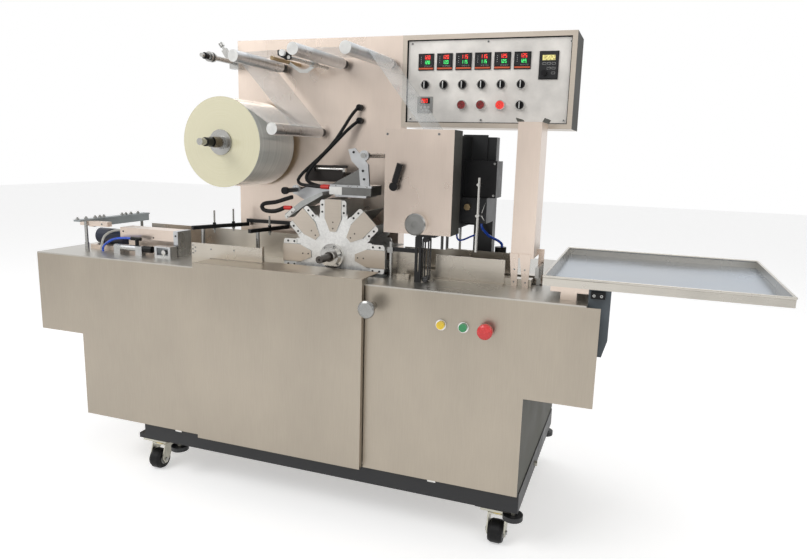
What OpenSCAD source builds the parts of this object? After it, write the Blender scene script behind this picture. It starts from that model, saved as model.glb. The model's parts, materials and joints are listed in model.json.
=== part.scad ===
// Cellophane wrapping machine with an indexing turret, on a cabinet with casters.
// Sizes are in millimetres. X runs along the front, Y from front to back, Z up.
// Modules are written from the joint between the middle and right front panels,
// at the plane of those panels and the floor. in_place() moves them to the origin.

/* [Cabinet] */
// Height of the table top above the floor
table_h = 720; // [690:1:740]
// Table length to the left of the panel joint
table_left = 1180; // [1120:5:1240]
// Table length to the right of the panel joint
table_right = 626; // [600:2:680]
// Depth of the table from front to back
table_depth = 703; // [680:1:760]
// Height of the upper part of the cabinet
upper_h = 262; // [240:2:290]
// Reach of the upper part beyond the lower part at each end
overhang = 174; // [140:2:200]
// Height of the lower edge of the cabinet above the floor
skirt_h = 181; // [175:1:190]
// Thickness of the casing sheets
sheet = 2; // [1.5:0.1:3]
// Thickness of the table plate
table_t = 4; // [3:0.5:6]
// Width of the middle cover
cover_w = 550; // [530:1:560]
// Distance the middle cover stands proud of the side panels
cover_proud = 20; // [16:1:26]
// Height of the middle cover's top above the table
cover_rise = 16; // [14:1:17]
// Reach of the middle cover's top over the table
cover_reach = 104; // [90:1:105]
// Width of the square posts in the cabinet
post_w = 40; // [30:1:44]

/* [Base and casters] */
// Height of the base rails
rail_h = 58; // [50:1:58]
// Width of the base rails
rail_w = 60; // [40:1:70]
// Setback of the base rails from the front
rail_setback = 18; // [12:1:24]
// Radius of the caster wheels
wheel_r = 33; // [30:0.5:34]
// Width of the caster wheels
wheel_w = 40; // [34:1:44]
// Distance from the caster's swivel axis to its wheel's axis
caster_trail = 22; // [18:1:26]
// Radius of the caster's swivel race
race_r = 26; // [22:0.5:30]
// Radius of the levelling pads
pad_r = 28; // [22:1:32]

/* [Back plate and control box] */
// Distance from the front panels to the back plate
plate_y = 322; // [318:1:340]
// Width of the back plate
plate_w = 579; // [560:1:600]
// Height of the back plate above the table
plate_rise = 700; // [680:1:720]
// Thickness of the back plate
plate_t = 4; // [3:0.5:6]
// Width of the control box
box_w = 512; // [500:1:530]
// Height of the control box
box_h = 267; // [262:1:280]
// Depth of the control box
box_d = 161; // [140:1:180]
// Width of the control box's front rim
rim_w = 14; // [10:1:18]
// Pitch of the columns on the control plate
column_pitch = 57.7; // [56:0.1:59]
// Side of a temperature controller's face
dial_w = 48; // [44:1:50]
// Radius of the selector and lamp bezels
bezel_r = 14.5; // [13:0.5:16]

/* [Turret] */
// Height of the turret's axis above the table
turret_rise = 48; // [46:1:52]
// Distance of the turret's axis to the left of the panel joint
turret_left = 157; // [150:1:162]
// Outer radius of the pockets
pocket_r = 167; // [160:0.5:168]
// Width of a pocket's front plate
pocket_w = 53; // [48:1:56]
// Number of pockets
pockets = 8; // [8:1:8]
// Distance from the front panels to the turret's front disc
disc_y = 131; // [126:1:136]
// Depth of the turret from disc to disc
turret_depth = 158; // [140:1:162]
// Radius of the turret's discs
disc_r = 113; // [108:1:118]
// Thickness of the turret's discs
disc_t = 6; // [4:0.5:8]
// Radius of the turret's shaft
shaft_r = 15; // [12:0.5:18]
// Radius of the shaft's free end
nose_r = 11; // [9:0.5:12]

/* [Film] */
// Radius of the film roll
roll_r = 135; // [100:1:140]
// Width of the film
film_w = 203; // [180:1:206]
// Radius of the roll's core
core_r = 38; // [34:1:44]
// Radius of the film spindle
spindle_r = 12; // [10:0.5:14]
// Radius of the guide rollers
roller_r = 17; // [14:0.5:19]
// Width of the film unit's cover
unit_w = 193; // [180:1:200]
// Height of the film unit's cover
unit_h = 280; // [260:1:290]
// Depth of the film unit's cover
unit_d = 82; // [70:1:90]

/* [Magazine and tray] */
// Distance of the magazine to the right of the panel joint
magazine_x = 368; // [366:1:372]
// Width of the magazine
magazine_w = 63; // [60:1:66]
// Depth of the magazine
magazine_d = 108; // [100:1:110]
// Height of the magazine's top above the table
magazine_h = 445; // [400:5:480]
// Height of a box in the lane
carton_h = 54; // [44:1:56]
// Distance of the tray to the right of the panel joint
tray_x = 475; // [472:1:480]
// Length of the tray
tray_w = 572; // [540:2:600]
// Depth of the tray
tray_d = 586; // [560:2:600]
// Height of the tray's rim above the table
tray_rise = 61; // [58:1:66]
// Height of the tray's rim
tray_rim = 26; // [22:1:30]

/* [Hidden] */
$fn = 64;
// Overrun of a cut past the face it opens
cut = 1;
// Gap between sheets that meet, and under parts that rest on others
seam = 0.3;
// Radial clearance of a shaft that turns in its bore
fit = 0.05;

// Edges of the cabinet
table_x0 = -table_left;
table_x1 = table_right;
end_inset = 34;
end_x = table_x1 - end_inset;
upper_z = table_h - upper_h;
lower_x0 = table_x0 + overhang;
lower_x1 = table_x1 - overhang;
under_table = table_h - table_t;
cover_edge = 3;
cover_x1 = cover_edge;
cover_x0 = cover_x1 - cover_w;
panel_gap = 2;
cover_top = table_h + cover_rise;
flange_w = 18;
cover_lip = 24;

// Places of the turret and the lane of boxes
turret_x = -turret_left;
turret_z = table_h + turret_rise;
disc_back = disc_y + turret_depth;
well_margin = 8;
lane_y0 = 167;
lane_y1 = 271;
lane_z = turret_z - carton_h / 2;
plate_back = plate_y + plate_t;
plate_x1 = -22;
plate_x0 = plate_x1 - plate_w;
plate_top = table_h + plate_rise;
tray_x1 = tray_x + tray_w;
knob_reach = 58;

module in_place() {
    translate([-(tray_x1 - table_left) / 2, -(table_depth - knob_reach) / 2, 0]) children();
}
module block(x, y, z) {
    translate([x[0], y[0], z[0]]) cube([x[1] - x[0], y[1] - y[0], z[1] - z[0]]);
}
module rod_x(y, z, x, r) {
    translate([x[0], y, z]) rotate([0, 90, 0]) cylinder(r = r, h = x[1] - x[0]);
}
module rod_y(x, z, y, r) {
    translate([x, y[0], z]) rotate([-90, 0, 0]) cylinder(r = r, h = y[1] - y[0]);
}
module rod_z(x, y, z, r) {
    translate([x, y, z[0]]) cylinder(r = r, h = z[1] - z[0]);
}
// A flat plate in the XZ plane with the given outline and thickness
module plate_xz(y, t) {
    translate([0, y + t, 0]) rotate([90, 0, 0]) linear_extrude(t) children();
}
// A tube of the given radius swept along a smooth curve through the points
function lerp(a, b, t) = a + (b - a) * t;
function curve_at(p, i, t) =
    let (n = len(p) - 1, a = p[max(i - 1, 0)], b = p[i], c = p[i + 1], d = p[min(i + 2, n)])
    (2 * b + (c - a) * t + (2 * a - 5 * b + 4 * c - d) * t * t + (3 * b - a - 3 * c + d) * t * t * t) / 2;
function smooth(p, steps) =
    [for (i = [0:len(p) - 2], s = [0:steps - 1]) curve_at(p, i, s / steps), p[len(p) - 1]];
function unit(v) = v / norm(v);
function carried(t) = [for (i = 0, side = unit(cross(t[0], [0.31, 0.17, 0.93])); i < len(t);
    i = i + 1, side = i < len(t) ? unit(side - (side * t[i]) * t[i]) : side) side];
function ring(p, t, side, r, sides) =
    let (up = cross(side, t))
    [for (k = [0:sides - 1]) p + r * (cos(360 * k / sides) * side + sin(360 * k / sides) * up)];
module swept_tube(route, r, sides, steps) {
    p = smooth(route, steps);
    n = len(p);
    tangents = [for (i = [0:n - 1]) unit(p[min(i + 1, n - 1)] - p[max(i - 1, 0)])];
    turns = carried(tangents);
    points = [for (i = [0:n - 1]) each ring(p[i], tangents[i], turns[i], r, sides)];
    walls = [for (i = [0:n - 2], k = [0:sides - 1]) let (j = (k + 1) % sides)
        each [[i * sides + k, (i + 1) * sides + j, (i + 1) * sides + k],
              [i * sides + k, i * sides + j, (i + 1) * sides + j]]];
    first = [for (k = [0:sides - 1]) sides - 1 - k];
    last = [for (k = [0:sides - 1]) (n - 1) * sides + k];
    polyhedron(points = points, faces = concat([first], walls, [last]), convexity = 6);
}

// Base frame: four rails, two cross rails, caster plates and levelling feet
rail_x0 = -785;
rail_x1 = 455;
rail_z = skirt_h - rail_h;
rail_y = [rail_setback, table_depth - rail_setback];
caster_x = [-771, 391];
caster_y = [88, table_depth - 88];
caster_plate_w = 90;
caster_plate_t = 7;
spacer_w = 120;
race_top = wheel_r + 67;
pin_r = 7;
pin_h = 5;
foot_x = [-669, 438];
foot_y = [45, table_depth - 45];
foot_rod_r = 8;
foot_pad_h = 14;
foot_drop = 17;
clip_x = [-658, 198];
clip_w = 24;
clip_h = 9;
clip_t = 6;
side_bolt_y = 307;
side_bolt_z = 140;
side_bolt_r = 8;
side_bolt_l = 7;
module base_frame() color("#26282b") {
    for (y = [rail_y[0], rail_y[1] - rail_w])
        block([rail_x0, rail_x1], [y, y + rail_w], [rail_z, skirt_h]);
    inner = [rail_y[0] + rail_w + seam, rail_y[1] - rail_w - seam];
    for (k = [0:3]) {
        x = lerp(rail_x0, rail_x1 - rail_w, k / 3);
        block([x, x + rail_w], inner, [rail_z, skirt_h]);
    }
    for (x = caster_x, y = caster_y) translate([x, y, 0]) {
        half = caster_plate_w / 2;
        block([-spacer_w / 2, spacer_w / 2], [-half, half], [race_top + caster_plate_t, rail_z]);
        difference() {
            block([-half, half], [-half, half], [race_top, race_top + caster_plate_t - seam]);
            rod_z(0, 0, [race_top - cut, race_top + pin_h + seam], pin_r + fit);
        }
    }
    for (x = foot_x, y = foot_y) {
        rod_z(x, y, [rail_z - foot_drop, rail_z], foot_rod_r);
        rod_z(x, y, [rail_z - foot_drop - foot_pad_h, rail_z - foot_drop], pad_r);
    }
    // spring clips of the front panels, and a bolt head at the right end
    for (x = clip_x)
        block([x, x + clip_w], [rail_setback - clip_t, rail_setback],
            [skirt_h - clip_h - sheet, skirt_h - sheet]);
    rod_x(side_bolt_y, side_bolt_z, [rail_x1, rail_x1 + side_bolt_l], side_bolt_r);
}

// Casters: fork with its race and pin, wheel on its axle
fork_gap = 3;
fork_t = 4;
fork_half = 17;
race_h = 14;
axle_r = 6;
crown_z = race_top - race_h - fork_t;
module caster_fork() color("#b9b6a8") {
    inside = wheel_w / 2 + fork_gap;
    rod_z(0, 0, [race_top - race_h, race_top - seam], race_r);
    rod_z(0, 0, [race_top - seam, race_top + pin_h], pin_r);
    block([-inside - fork_t, inside + fork_t], [-caster_trail - fork_gap, fork_half],
        [crown_z, race_top - race_h]);
    for (side = [-1, 1])
        translate([side * (inside + fork_t / 2) - fork_t / 2, 0, 0])
            rotate([90, 0, 90]) linear_extrude(fork_t) polygon([
                [fork_half, crown_z], [-caster_trail - fork_gap, crown_z],
                [-caster_trail - fork_half, wheel_r + axle_r],
                [-caster_trail - axle_r, wheel_r - fork_half + fork_t],
                [-caster_trail + axle_r, wheel_r - fork_half + fork_t],
                [fork_half, crown_z - fork_half]]);
    rod_x(-caster_trail, wheel_r, [-inside - 2 * fork_t, inside + 2 * fork_t], axle_r);
}
module caster_wheel() color("#3a3a3a") {
    crown = 4;
    translate([0, -caster_trail, wheel_r]) rotate([0, 90, 0]) rotate_extrude() polygon([
        [axle_r + fit, -wheel_w / 2], [wheel_r - crown, -wheel_w / 2],
        [wheel_r, -wheel_w / 2 + crown * 2], [wheel_r, wheel_w / 2 - crown * 2],
        [wheel_r - crown, wheel_w / 2], [axle_r + fit, wheel_w / 2]]);
}
module at_caster(k) {
    translate([caster_x[k % 2], caster_y[floor(k / 2)], 0]) children();
}

// Cabinet shell: back, ends, undersides, deck and posts
deck_t = 3;
post_wall = 3;
module tube_post(x, y, z) difference() {
    block([x, x + post_w], [y, y + post_w], z);
    block([x + post_wall, x + post_w - post_wall], [y + post_wall, y + post_w - post_wall],
        [z[0] - cut, z[1] + cut]);
}
module cabinet_shell() color("#9c988c") {
    back = [table_depth - sheet, table_depth];
    inner_y = [sheet + seam, table_depth - sheet - seam];
    block([table_x0, end_x], back, [upper_z, under_table]);
    block([lower_x0, lower_x1], back, [skirt_h, upper_z - seam]);
    for (x = [table_x0, end_x - sheet])
        block([x, x + sheet], inner_y, [upper_z + sheet + seam, under_table]);
    block([table_x0, lower_x0 - seam], inner_y, [upper_z, upper_z + sheet]);
    block([lower_x1 + seam, end_x], inner_y, [upper_z, upper_z + sheet]);
    for (x = [lower_x0, lower_x1 - sheet])
        block([x, x + sheet], inner_y, [skirt_h, upper_z + sheet]);
    block([lower_x0 + sheet + seam, lower_x1 - sheet - seam], [flange_w + seam, inner_y[1]],
        [skirt_h, skirt_h + deck_t]);
    for (x = [lower_x0 + sheet + post_w, cover_x0 - post_w, cover_x1 + 2 * post_w, lower_x1 - 2 * post_w])
        for (y = [inner_y[0], inner_y[1] - post_w])
            tube_post(x, y, [skirt_h + deck_t + seam, under_table]);
}

// Front panels, with a folded edge at the foot
button_z = 631;
button_x = [225, 286, 348];
button_r = 11;
module panel_sheet(outline, foot_x) {
    plate_xz(0, sheet) polygon(outline);
    block(foot_x, [sheet, flange_w], [skirt_h, skirt_h + sheet]);
}
module left_panel() color("#b3aa9a") {
    x1 = cover_x0 - panel_gap;
    panel_sheet([
        [table_x0, under_table], [table_x0, upper_z], [lower_x0, upper_z],
        [lower_x0, skirt_h], [x1, skirt_h], [x1, under_table]], [lower_x0 + sheet, x1]);
}
module right_panel() color("#b3aa9a") {
    x0 = cover_x1 + panel_gap;
    difference() {
        panel_sheet([
            [table_x1, under_table], [table_x1, upper_z], [lower_x1, upper_z],
            [lower_x1, skirt_h], [x0, skirt_h], [x0, under_table]], [x0, lower_x1 - sheet]);
        for (x = button_x) rod_y(x, button_z, [-cut, sheet + cut], button_r + fit);
        rod_y(wheel_axis_x, wheel_axis_z, [-cut, sheet + cut], stem_r + fit);
    }
    for (x = button_x) difference() {
        rod_y(x, button_z, [-bezel_h, 0], bezel_r);
        rod_y(x, button_z, [-bezel_h - cut, cut], button_r + fit);
    }
}
module centre_cover() color("#b3aa9a") {
    front = -cover_proud;
    block([cover_x0, cover_x1], [front, front + sheet], [skirt_h, cover_top]);
    block([cover_x0, cover_x1], [front + sheet, cover_reach], [cover_top - sheet, cover_top]);
    for (x = [cover_x0, cover_x1 - sheet])
        block([x, x + sheet], [front + sheet, -seam], [skirt_h, cover_top - sheet]);
    block([cover_x0, cover_x1], [front + sheet, -seam], [skirt_h, skirt_h + sheet]);
}

// Table plate with the well of the turret and the slot of the pusher
well_x = [turret_x - pocket_r - well_margin, turret_x + pocket_r + well_margin];
well_y = [cover_reach + seam, disc_back + well_margin];
slot_x = [magazine_x - 8, magazine_x + magazine_w + 21];
slot_y = [(lane_y0 + lane_y1) / 2 - 12, (lane_y0 + lane_y1) / 2 + 12];
cover_rest_w = 30;
module table_plate() color("#c9c5ba") {
    difference() {
        block([table_x0, end_x], [0, table_depth], [under_table, table_h]);
        block(well_x, well_y, [under_table - cut, table_h + cut]);
        block(slot_x, slot_y, [under_table - cut, table_h + cut]);
    }
    for (x = [cover_x0 + sheet, cover_x1 - sheet - cover_rest_w])
        block([x, x + cover_rest_w], [0, cover_lip], [table_h, cover_top - sheet - seam]);
}

// Back plate with its folded edges and two posts behind
fold_w = 50;
shaft_room = 4;
module back_plate() color("#d8cfc2") {
    fold_y = [plate_back + seam, plate_back + fold_w];
    fold_z = [table_h, plate_top - sheet - seam];
    difference() {
        block([plate_x0, plate_x1], [plate_y, plate_back], [table_h, plate_top]);
        rod_y(turret_x, turret_z, [plate_y - cut, plate_back + cut], shaft_r + shaft_room);
    }
    for (x = [plate_x0, plate_x1 - sheet]) block([x, x + sheet], fold_y, fold_z);
    block([plate_x0, plate_x1], fold_y, [plate_top - sheet, plate_top]);
    for (x = [plate_x0 + post_w, plate_x1 - sheet - seam - post_w])
        block([x, x + post_w], [fold_y[0], fold_y[0] + post_w], fold_z);
}

// Control box, its plate and what is mounted on it
box_x0 = plate_x1;
box_z0 = plate_top - box_h;
face_set = 8;
bezel_h = 5;
selector_z = box_z0 + 124;
lamp_z = box_z0 + 66;
dial_z = box_z0 + 190;
first_column = 73;
stub_r = 8;
dial_depth = 60;
dial_proud = 3;
function column(k) = box_x0 + first_column + k * column_pitch;
inverter_w = 54;
inverter_h = 77;
inverter_x = column(6) + 17;
inverter_z = dial_z + dial_w / 2 - inverter_h / 2;
inverter_knob_x = inverter_x - inverter_w / 2 + 16;
inverter_knob_z = inverter_z - inverter_h / 2 + 17;
small_knob_r = 8;
small_stub_r = 4;
selector_places = [for (k = [0:5]) [column(k), selector_z], [column(5), lamp_z]];
module control_box() color("#d2c9bc") {
    x = [box_x0 + seam, box_x0 + box_w];
    y = [plate_y, plate_y + box_d];
    difference() {
        block(x, y, [box_z0, plate_top]);
        block([x[0] + sheet, x[1] - sheet], [y[0] + face_set + sheet + seam, y[1] - sheet],
            [box_z0 + sheet, plate_top - sheet]);
        block([x[0] + rim_w, x[1] - rim_w], [y[0] - cut, y[1] - sheet], [box_z0 + rim_w, plate_top - rim_w]);
    }
}
module dial_cut(x, z, w, h) {
    block([x - w / 2, x + w / 2], [plate_y, plate_y + box_d / 2], [z - h / 2, z + h / 2]);
}
cutout_share = 0.92;
module control_plate() color("#dcd9d2") {
    y0 = plate_y + face_set;
    difference() {
        block([box_x0 + seam + rim_w + seam, box_x0 + box_w - rim_w - seam], [y0, y0 + sheet],
            [box_z0 + rim_w + seam, plate_top - rim_w - seam]);
        for (k = [0:5]) dial_cut(column(k), dial_z, dial_w * cutout_share, dial_w * cutout_share);
        dial_cut(column(0), lamp_z, dial_w * cutout_share, dial_w * cutout_share);
        dial_cut(inverter_x, inverter_z, inverter_w * cutout_share, inverter_h * cutout_share);
        for (p = selector_places) rod_y(p[0], p[1], [y0 - cut, y0 + sheet + cut], stub_r + fit);
        for (k = [2:4]) rod_y(column(k), lamp_z, [y0 - cut, y0 + sheet + cut], button_r);
    }
    for (p = selector_places) difference() {
        rod_y(p[0], p[1], [y0 - bezel_h, y0], bezel_r);
        rod_y(p[0], p[1], [y0 - bezel_h - cut, y0 + cut], stub_r + fit);
    }
}
module instrument(x, z, w, h) {
    y0 = plate_y + face_set;
    body = cutout_share - 0.02;
    block([x - w / 2, x + w / 2], [y0 - dial_proud, y0], [z - h / 2, z + h / 2]);
    block([x - w * body / 2, x + w * body / 2], [y0, y0 + dial_depth], [z - h * body / 2, z + h * body / 2]);
}
lamp_lens_h = 12;
module panel_instruments() color("#1d1d20") {
    y0 = plate_y + face_set;
    for (k = [0:5]) instrument(column(k), dial_z, dial_w, dial_w);
    instrument(column(0), lamp_z, dial_w, dial_w);
    difference() {
        instrument(inverter_x, inverter_z, inverter_w, inverter_h);
        rod_y(inverter_knob_x, inverter_knob_z, [y0 - dial_proud - cut, y0 + bezel_h + seam],
            small_stub_r + fit);
    }
    for (k = [2:4]) {
        rod_y(column(k), lamp_z, [y0 - bezel_h, y0], bezel_r);
        rod_y(column(k), lamp_z, [y0 - lamp_lens_h, y0 - bezel_h], bezel_r - bezel_h / 2);
        rod_y(column(k), lamp_z, [y0, y0 + dial_depth / 2], button_r - seam);
    }
}
selector_h = 12;
lever_w = 6;
module selector(p) color("#1b1b1d") {
    y0 = plate_y + face_set - bezel_h;
    rod_y(p[0], p[1], [y0, y0 + bezel_h + sheet], stub_r);
    rod_y(p[0], p[1], [y0 - selector_h / 3, y0 - seam], bezel_r - lever_w / 2);
    rod_y(p[0], p[1], [y0 - seam, y0], stub_r);
    block([p[0] - lever_w / 2, p[0] + lever_w / 2], [y0 - selector_h, y0 - selector_h / 3],
        [p[1] - bezel_r + lever_w / 2, p[1] + bezel_r - lever_w / 2]);
}
module inverter_knob() color("#2a2a2c") {
    y0 = plate_y + face_set - dial_proud;
    rod_y(inverter_knob_x, inverter_knob_z, [y0 - selector_h, y0 - seam], small_knob_r);
    rod_y(inverter_knob_x, inverter_knob_z, [y0 - seam, y0 + bezel_h], small_stub_r);
}

// Push buttons and the mushroom stop button on the right panel
button_proud = 12;
button_behind = 14;
mushroom_r = 20;
mushroom_h = 18;
mushroom_proud = 32;
button_rim = 2;
module push_button(x) {
    rod_y(x, button_z, [-button_proud, button_behind], button_r);
}
module stop_button() color("#d8232a") {
    x = button_x[2];
    rod_y(x, button_z, [-mushroom_proud + mushroom_h, button_behind], button_r);
    translate([x, -mushroom_proud, button_z]) rotate([-90, 0, 0]) rotate_extrude() polygon([
        [0, 0], [mushroom_r - 3 * button_rim, 0], [mushroom_r - button_rim, button_rim],
        [mushroom_r, 2 * button_rim], [mushroom_r, mushroom_h - button_rim],
        [mushroom_r - button_rim, mushroom_h], [0, mushroom_h]]);
}

// Handwheel on its stem, with a sprocket inside the cabinet
wheel_axis_x = 30;
wheel_axis_z = 662;
stem_r = 6;
hub_r = 11;
hand_r = 25;
hand_t = 12;
stem_in = 90;
sprocket_r = 24;
sprocket_t = 6;
module handwheel() color("#cfcdc8") {
    edge = 3;
    translate([wheel_axis_x, -knob_reach, wheel_axis_z]) rotate([-90, 0, 0]) rotate_extrude() polygon([
        [0, 0], [hand_r - 2 * edge, 0], [hand_r - edge / 2, edge], [hand_r, 2 * edge],
        [hand_r - edge, hand_t], [0, hand_t]]);
    rod_y(wheel_axis_x, wheel_axis_z, [hand_t - knob_reach, -seam], hub_r);
    rod_y(wheel_axis_x, wheel_axis_z, [-seam, stem_in], stem_r);
    rod_y(wheel_axis_x, wheel_axis_z, [stem_in - sprocket_t, stem_in], sprocket_r);
}

// Turret: shaft, two star discs, pockets open to the outside
hub_flange_r = 37;
hub_step_r = 27;
hub_h = 12;
nose_y = 40;
neck_y = disc_y - 2 * hub_h - 6;
shaft_end = plate_back + 60;
finger_w = 17;
finger_r = pocket_r - 40;
slot_floor_r = pocket_r - 57;
wall_t = 2;
slot_half = pocket_w / 2 + wall_t;
pocket_plate_t = 3;
tip_r = 72;
tip_half = 10;
shoulder_r = pocket_r - 58;
centre_hole_r = 3;
tab_l = 44;
tab_w = 15;
tab_t = 2;
tab_edge = 2;
tab_cut = 5;
screw_h = 1;
module at_turret() {
    translate([turret_x, 0, turret_z]) children();
}
module each_pocket() {
    for (k = [0:pockets - 1]) rotate([0, -360 * k / pockets, 0]) children();
}
module turret_shaft() color("#8d8d8b") at_turret() {
    difference() {
        rod_y(0, 0, [nose_y, neck_y], nose_r);
        rod_y(0, 0, [nose_y - cut, nose_y + 2 * centre_hole_r], centre_hole_r);
    }
    rod_y(0, 0, [neck_y, disc_y - 2 * hub_h], shaft_r);
    rod_y(0, 0, [disc_y - 2 * hub_h, disc_y - hub_h], hub_step_r);
    rod_y(0, 0, [disc_y - hub_h, disc_y], hub_flange_r);
    rod_y(0, 0, [disc_y, shaft_end], shaft_r);
}
module star_outline() {
    finger_at = slot_half + finger_w / 2;
    difference() {
        union() {
            circle(r = disc_r);
            for (k = [0:pockets - 1], side = [-1, 1]) rotate(360 * k / pockets) {
                translate([0, side * finger_at - finger_w / 2]) square([finger_r - finger_w / 2, finger_w]);
                translate([finger_r - finger_w / 2, side * finger_at]) circle(r = finger_w / 2);
            }
        }
        for (k = [0:pockets - 1]) rotate(360 * k / pockets)
            translate([slot_floor_r - wall_t, -slot_half]) square([pocket_r, 2 * slot_half]);
        circle(r = shaft_r + fit);
    }
}
module turret_discs() color("#e9e8e4") at_turret() {
    for (y = [disc_y, disc_back - disc_t]) plate_xz(y, disc_t) star_outline();
}
module turret_pockets() color("#d6c8b8") at_turret() each_pocket() {
    face = [disc_y - pocket_plate_t, disc_y - seam];
    tab_r = [pocket_r - tab_l - tab_edge, pocket_r - tab_edge];
    for (side = [-1, 1]) {
        z = side * (slot_half - wall_t / 2);
        block([slot_floor_r + seam, pocket_r], [disc_y, disc_back], [z - wall_t / 2, z + wall_t / 2]);
        // tab folded out of the wall, screwed to the finger of the disc
        translate([0, disc_y, side * (slot_half - wall_t / 2)]) mirror([0, 0, side < 0 ? 1 : 0])
            plate_xz(-tab_t, tab_t) polygon([
                [tab_r[0], 0], [tab_r[1], 0], [tab_r[1], tab_w - tab_cut],
                [tab_r[1] - tab_cut, tab_w], [tab_r[0], tab_w]]);
    }
    block([slot_floor_r - wall_t, slot_floor_r], [disc_y, disc_back], [-slot_half, slot_half]);
    plate_xz(face[0], face[1] - face[0]) polygon([
        [tip_r, -tip_half], [shoulder_r, -pocket_w / 2], [pocket_r, -pocket_w / 2],
        [pocket_r, pocket_w / 2], [shoulder_r, pocket_w / 2], [tip_r, tip_half]]);
    for (share = [1 / 4, 3 / 4])
        rod_y(lerp(tip_r, shoulder_r, share), 0, [face[0] - screw_h, disc_y], button_rim);
}

// Turret drive behind the back plate: bearing, indexing gearbox and motor
bearing_r = 42;
bearing_l = 26;
gear_w = 160;
gear_d = 150;
gear_h = 170;
motor_r = 52;
motor_l = 190;
motor_step = 6;
module turret_drive() color("#5d6b75") {
    y0 = plate_back + seam;
    motor_y = y0 + bearing_l + gear_d / 2;
    motor_z = table_h + gear_h;
    difference() {
        union() {
            rod_y(turret_x, turret_z, [y0, y0 + bearing_l], bearing_r);
            block([turret_x - gear_w / 2, turret_x + gear_w / 2], [y0 + bearing_l, y0 + bearing_l + gear_d],
                [table_h, table_h + gear_h]);
            rod_z(turret_x, motor_y, [motor_z, motor_z + sprocket_r], motor_r);
        }
        rod_y(turret_x, turret_z, [y0 - cut, shaft_end + cut], shaft_r + fit);
    }
    rod_z(turret_x, motor_y, [motor_z + sprocket_r, motor_z + sprocket_r + motor_l], motor_r - motor_step);
}

// Film spindle, roller shafts, tape guides and heater pins fixed to the back plate
roll_x = -517;
roll_z = 1091;
roll_y = 97;
spindle_tip = -8;
spindle_tip_l = 26;
spindle_tip_r = 10;
hand_nut_r = 13;
hand_nut_l = 30;
collar_r = 16;
roller_table = [[-429, 1332, 36], [-214, 1340, -8], [-56, 1338, -16], [-290, 1131, 10]];
roller_shaft_r = 6;
sleeve_l = 26;
sleeve_r = 13;
roller_cap = 5;
nut_r = 20;
nut_t = 10;
// Arm for the tear tape: spindle, clamp at the plate's edge and upright flat
tape_x = -597;
tape_z = 1349;
tape_y = [120, 136, 150, 172, 292];
tape_tip_r = 6;
tape_grip_r = 10;
tape_rod_r = 8;
tape_disc_r = 15;
tape_disc_t = 7;
tape_clamp = [34, 30, 40];
flat_y = [272, 284];
flat_l = 46;
flat_w = 18;
flat_lean = 34;
flat_pin_r = 4;
flat_pin_l = 12;
guide_rods = [[-372, 1340, 152, 6], [-274, 1330, 78, 5]];
guide_collar = [9, 215, 245];
trough_y = 250;
trough = [[-386, 1342], [-332, 1308], [-307, 1307], [-266, 1334], [-282, 1334], [-312, 1318],
    [-330, 1318], [-368, 1342]];
tape_plate = [[-310, 1350], [-310, 1336], [-282, 1323], [-266, 1323], [-266, 1337], [-292, 1350]];
tape_plate_y = 79;
tape_plate_t = 3;
tape_wheel = [-292, 1342, 8, 9];
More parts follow.
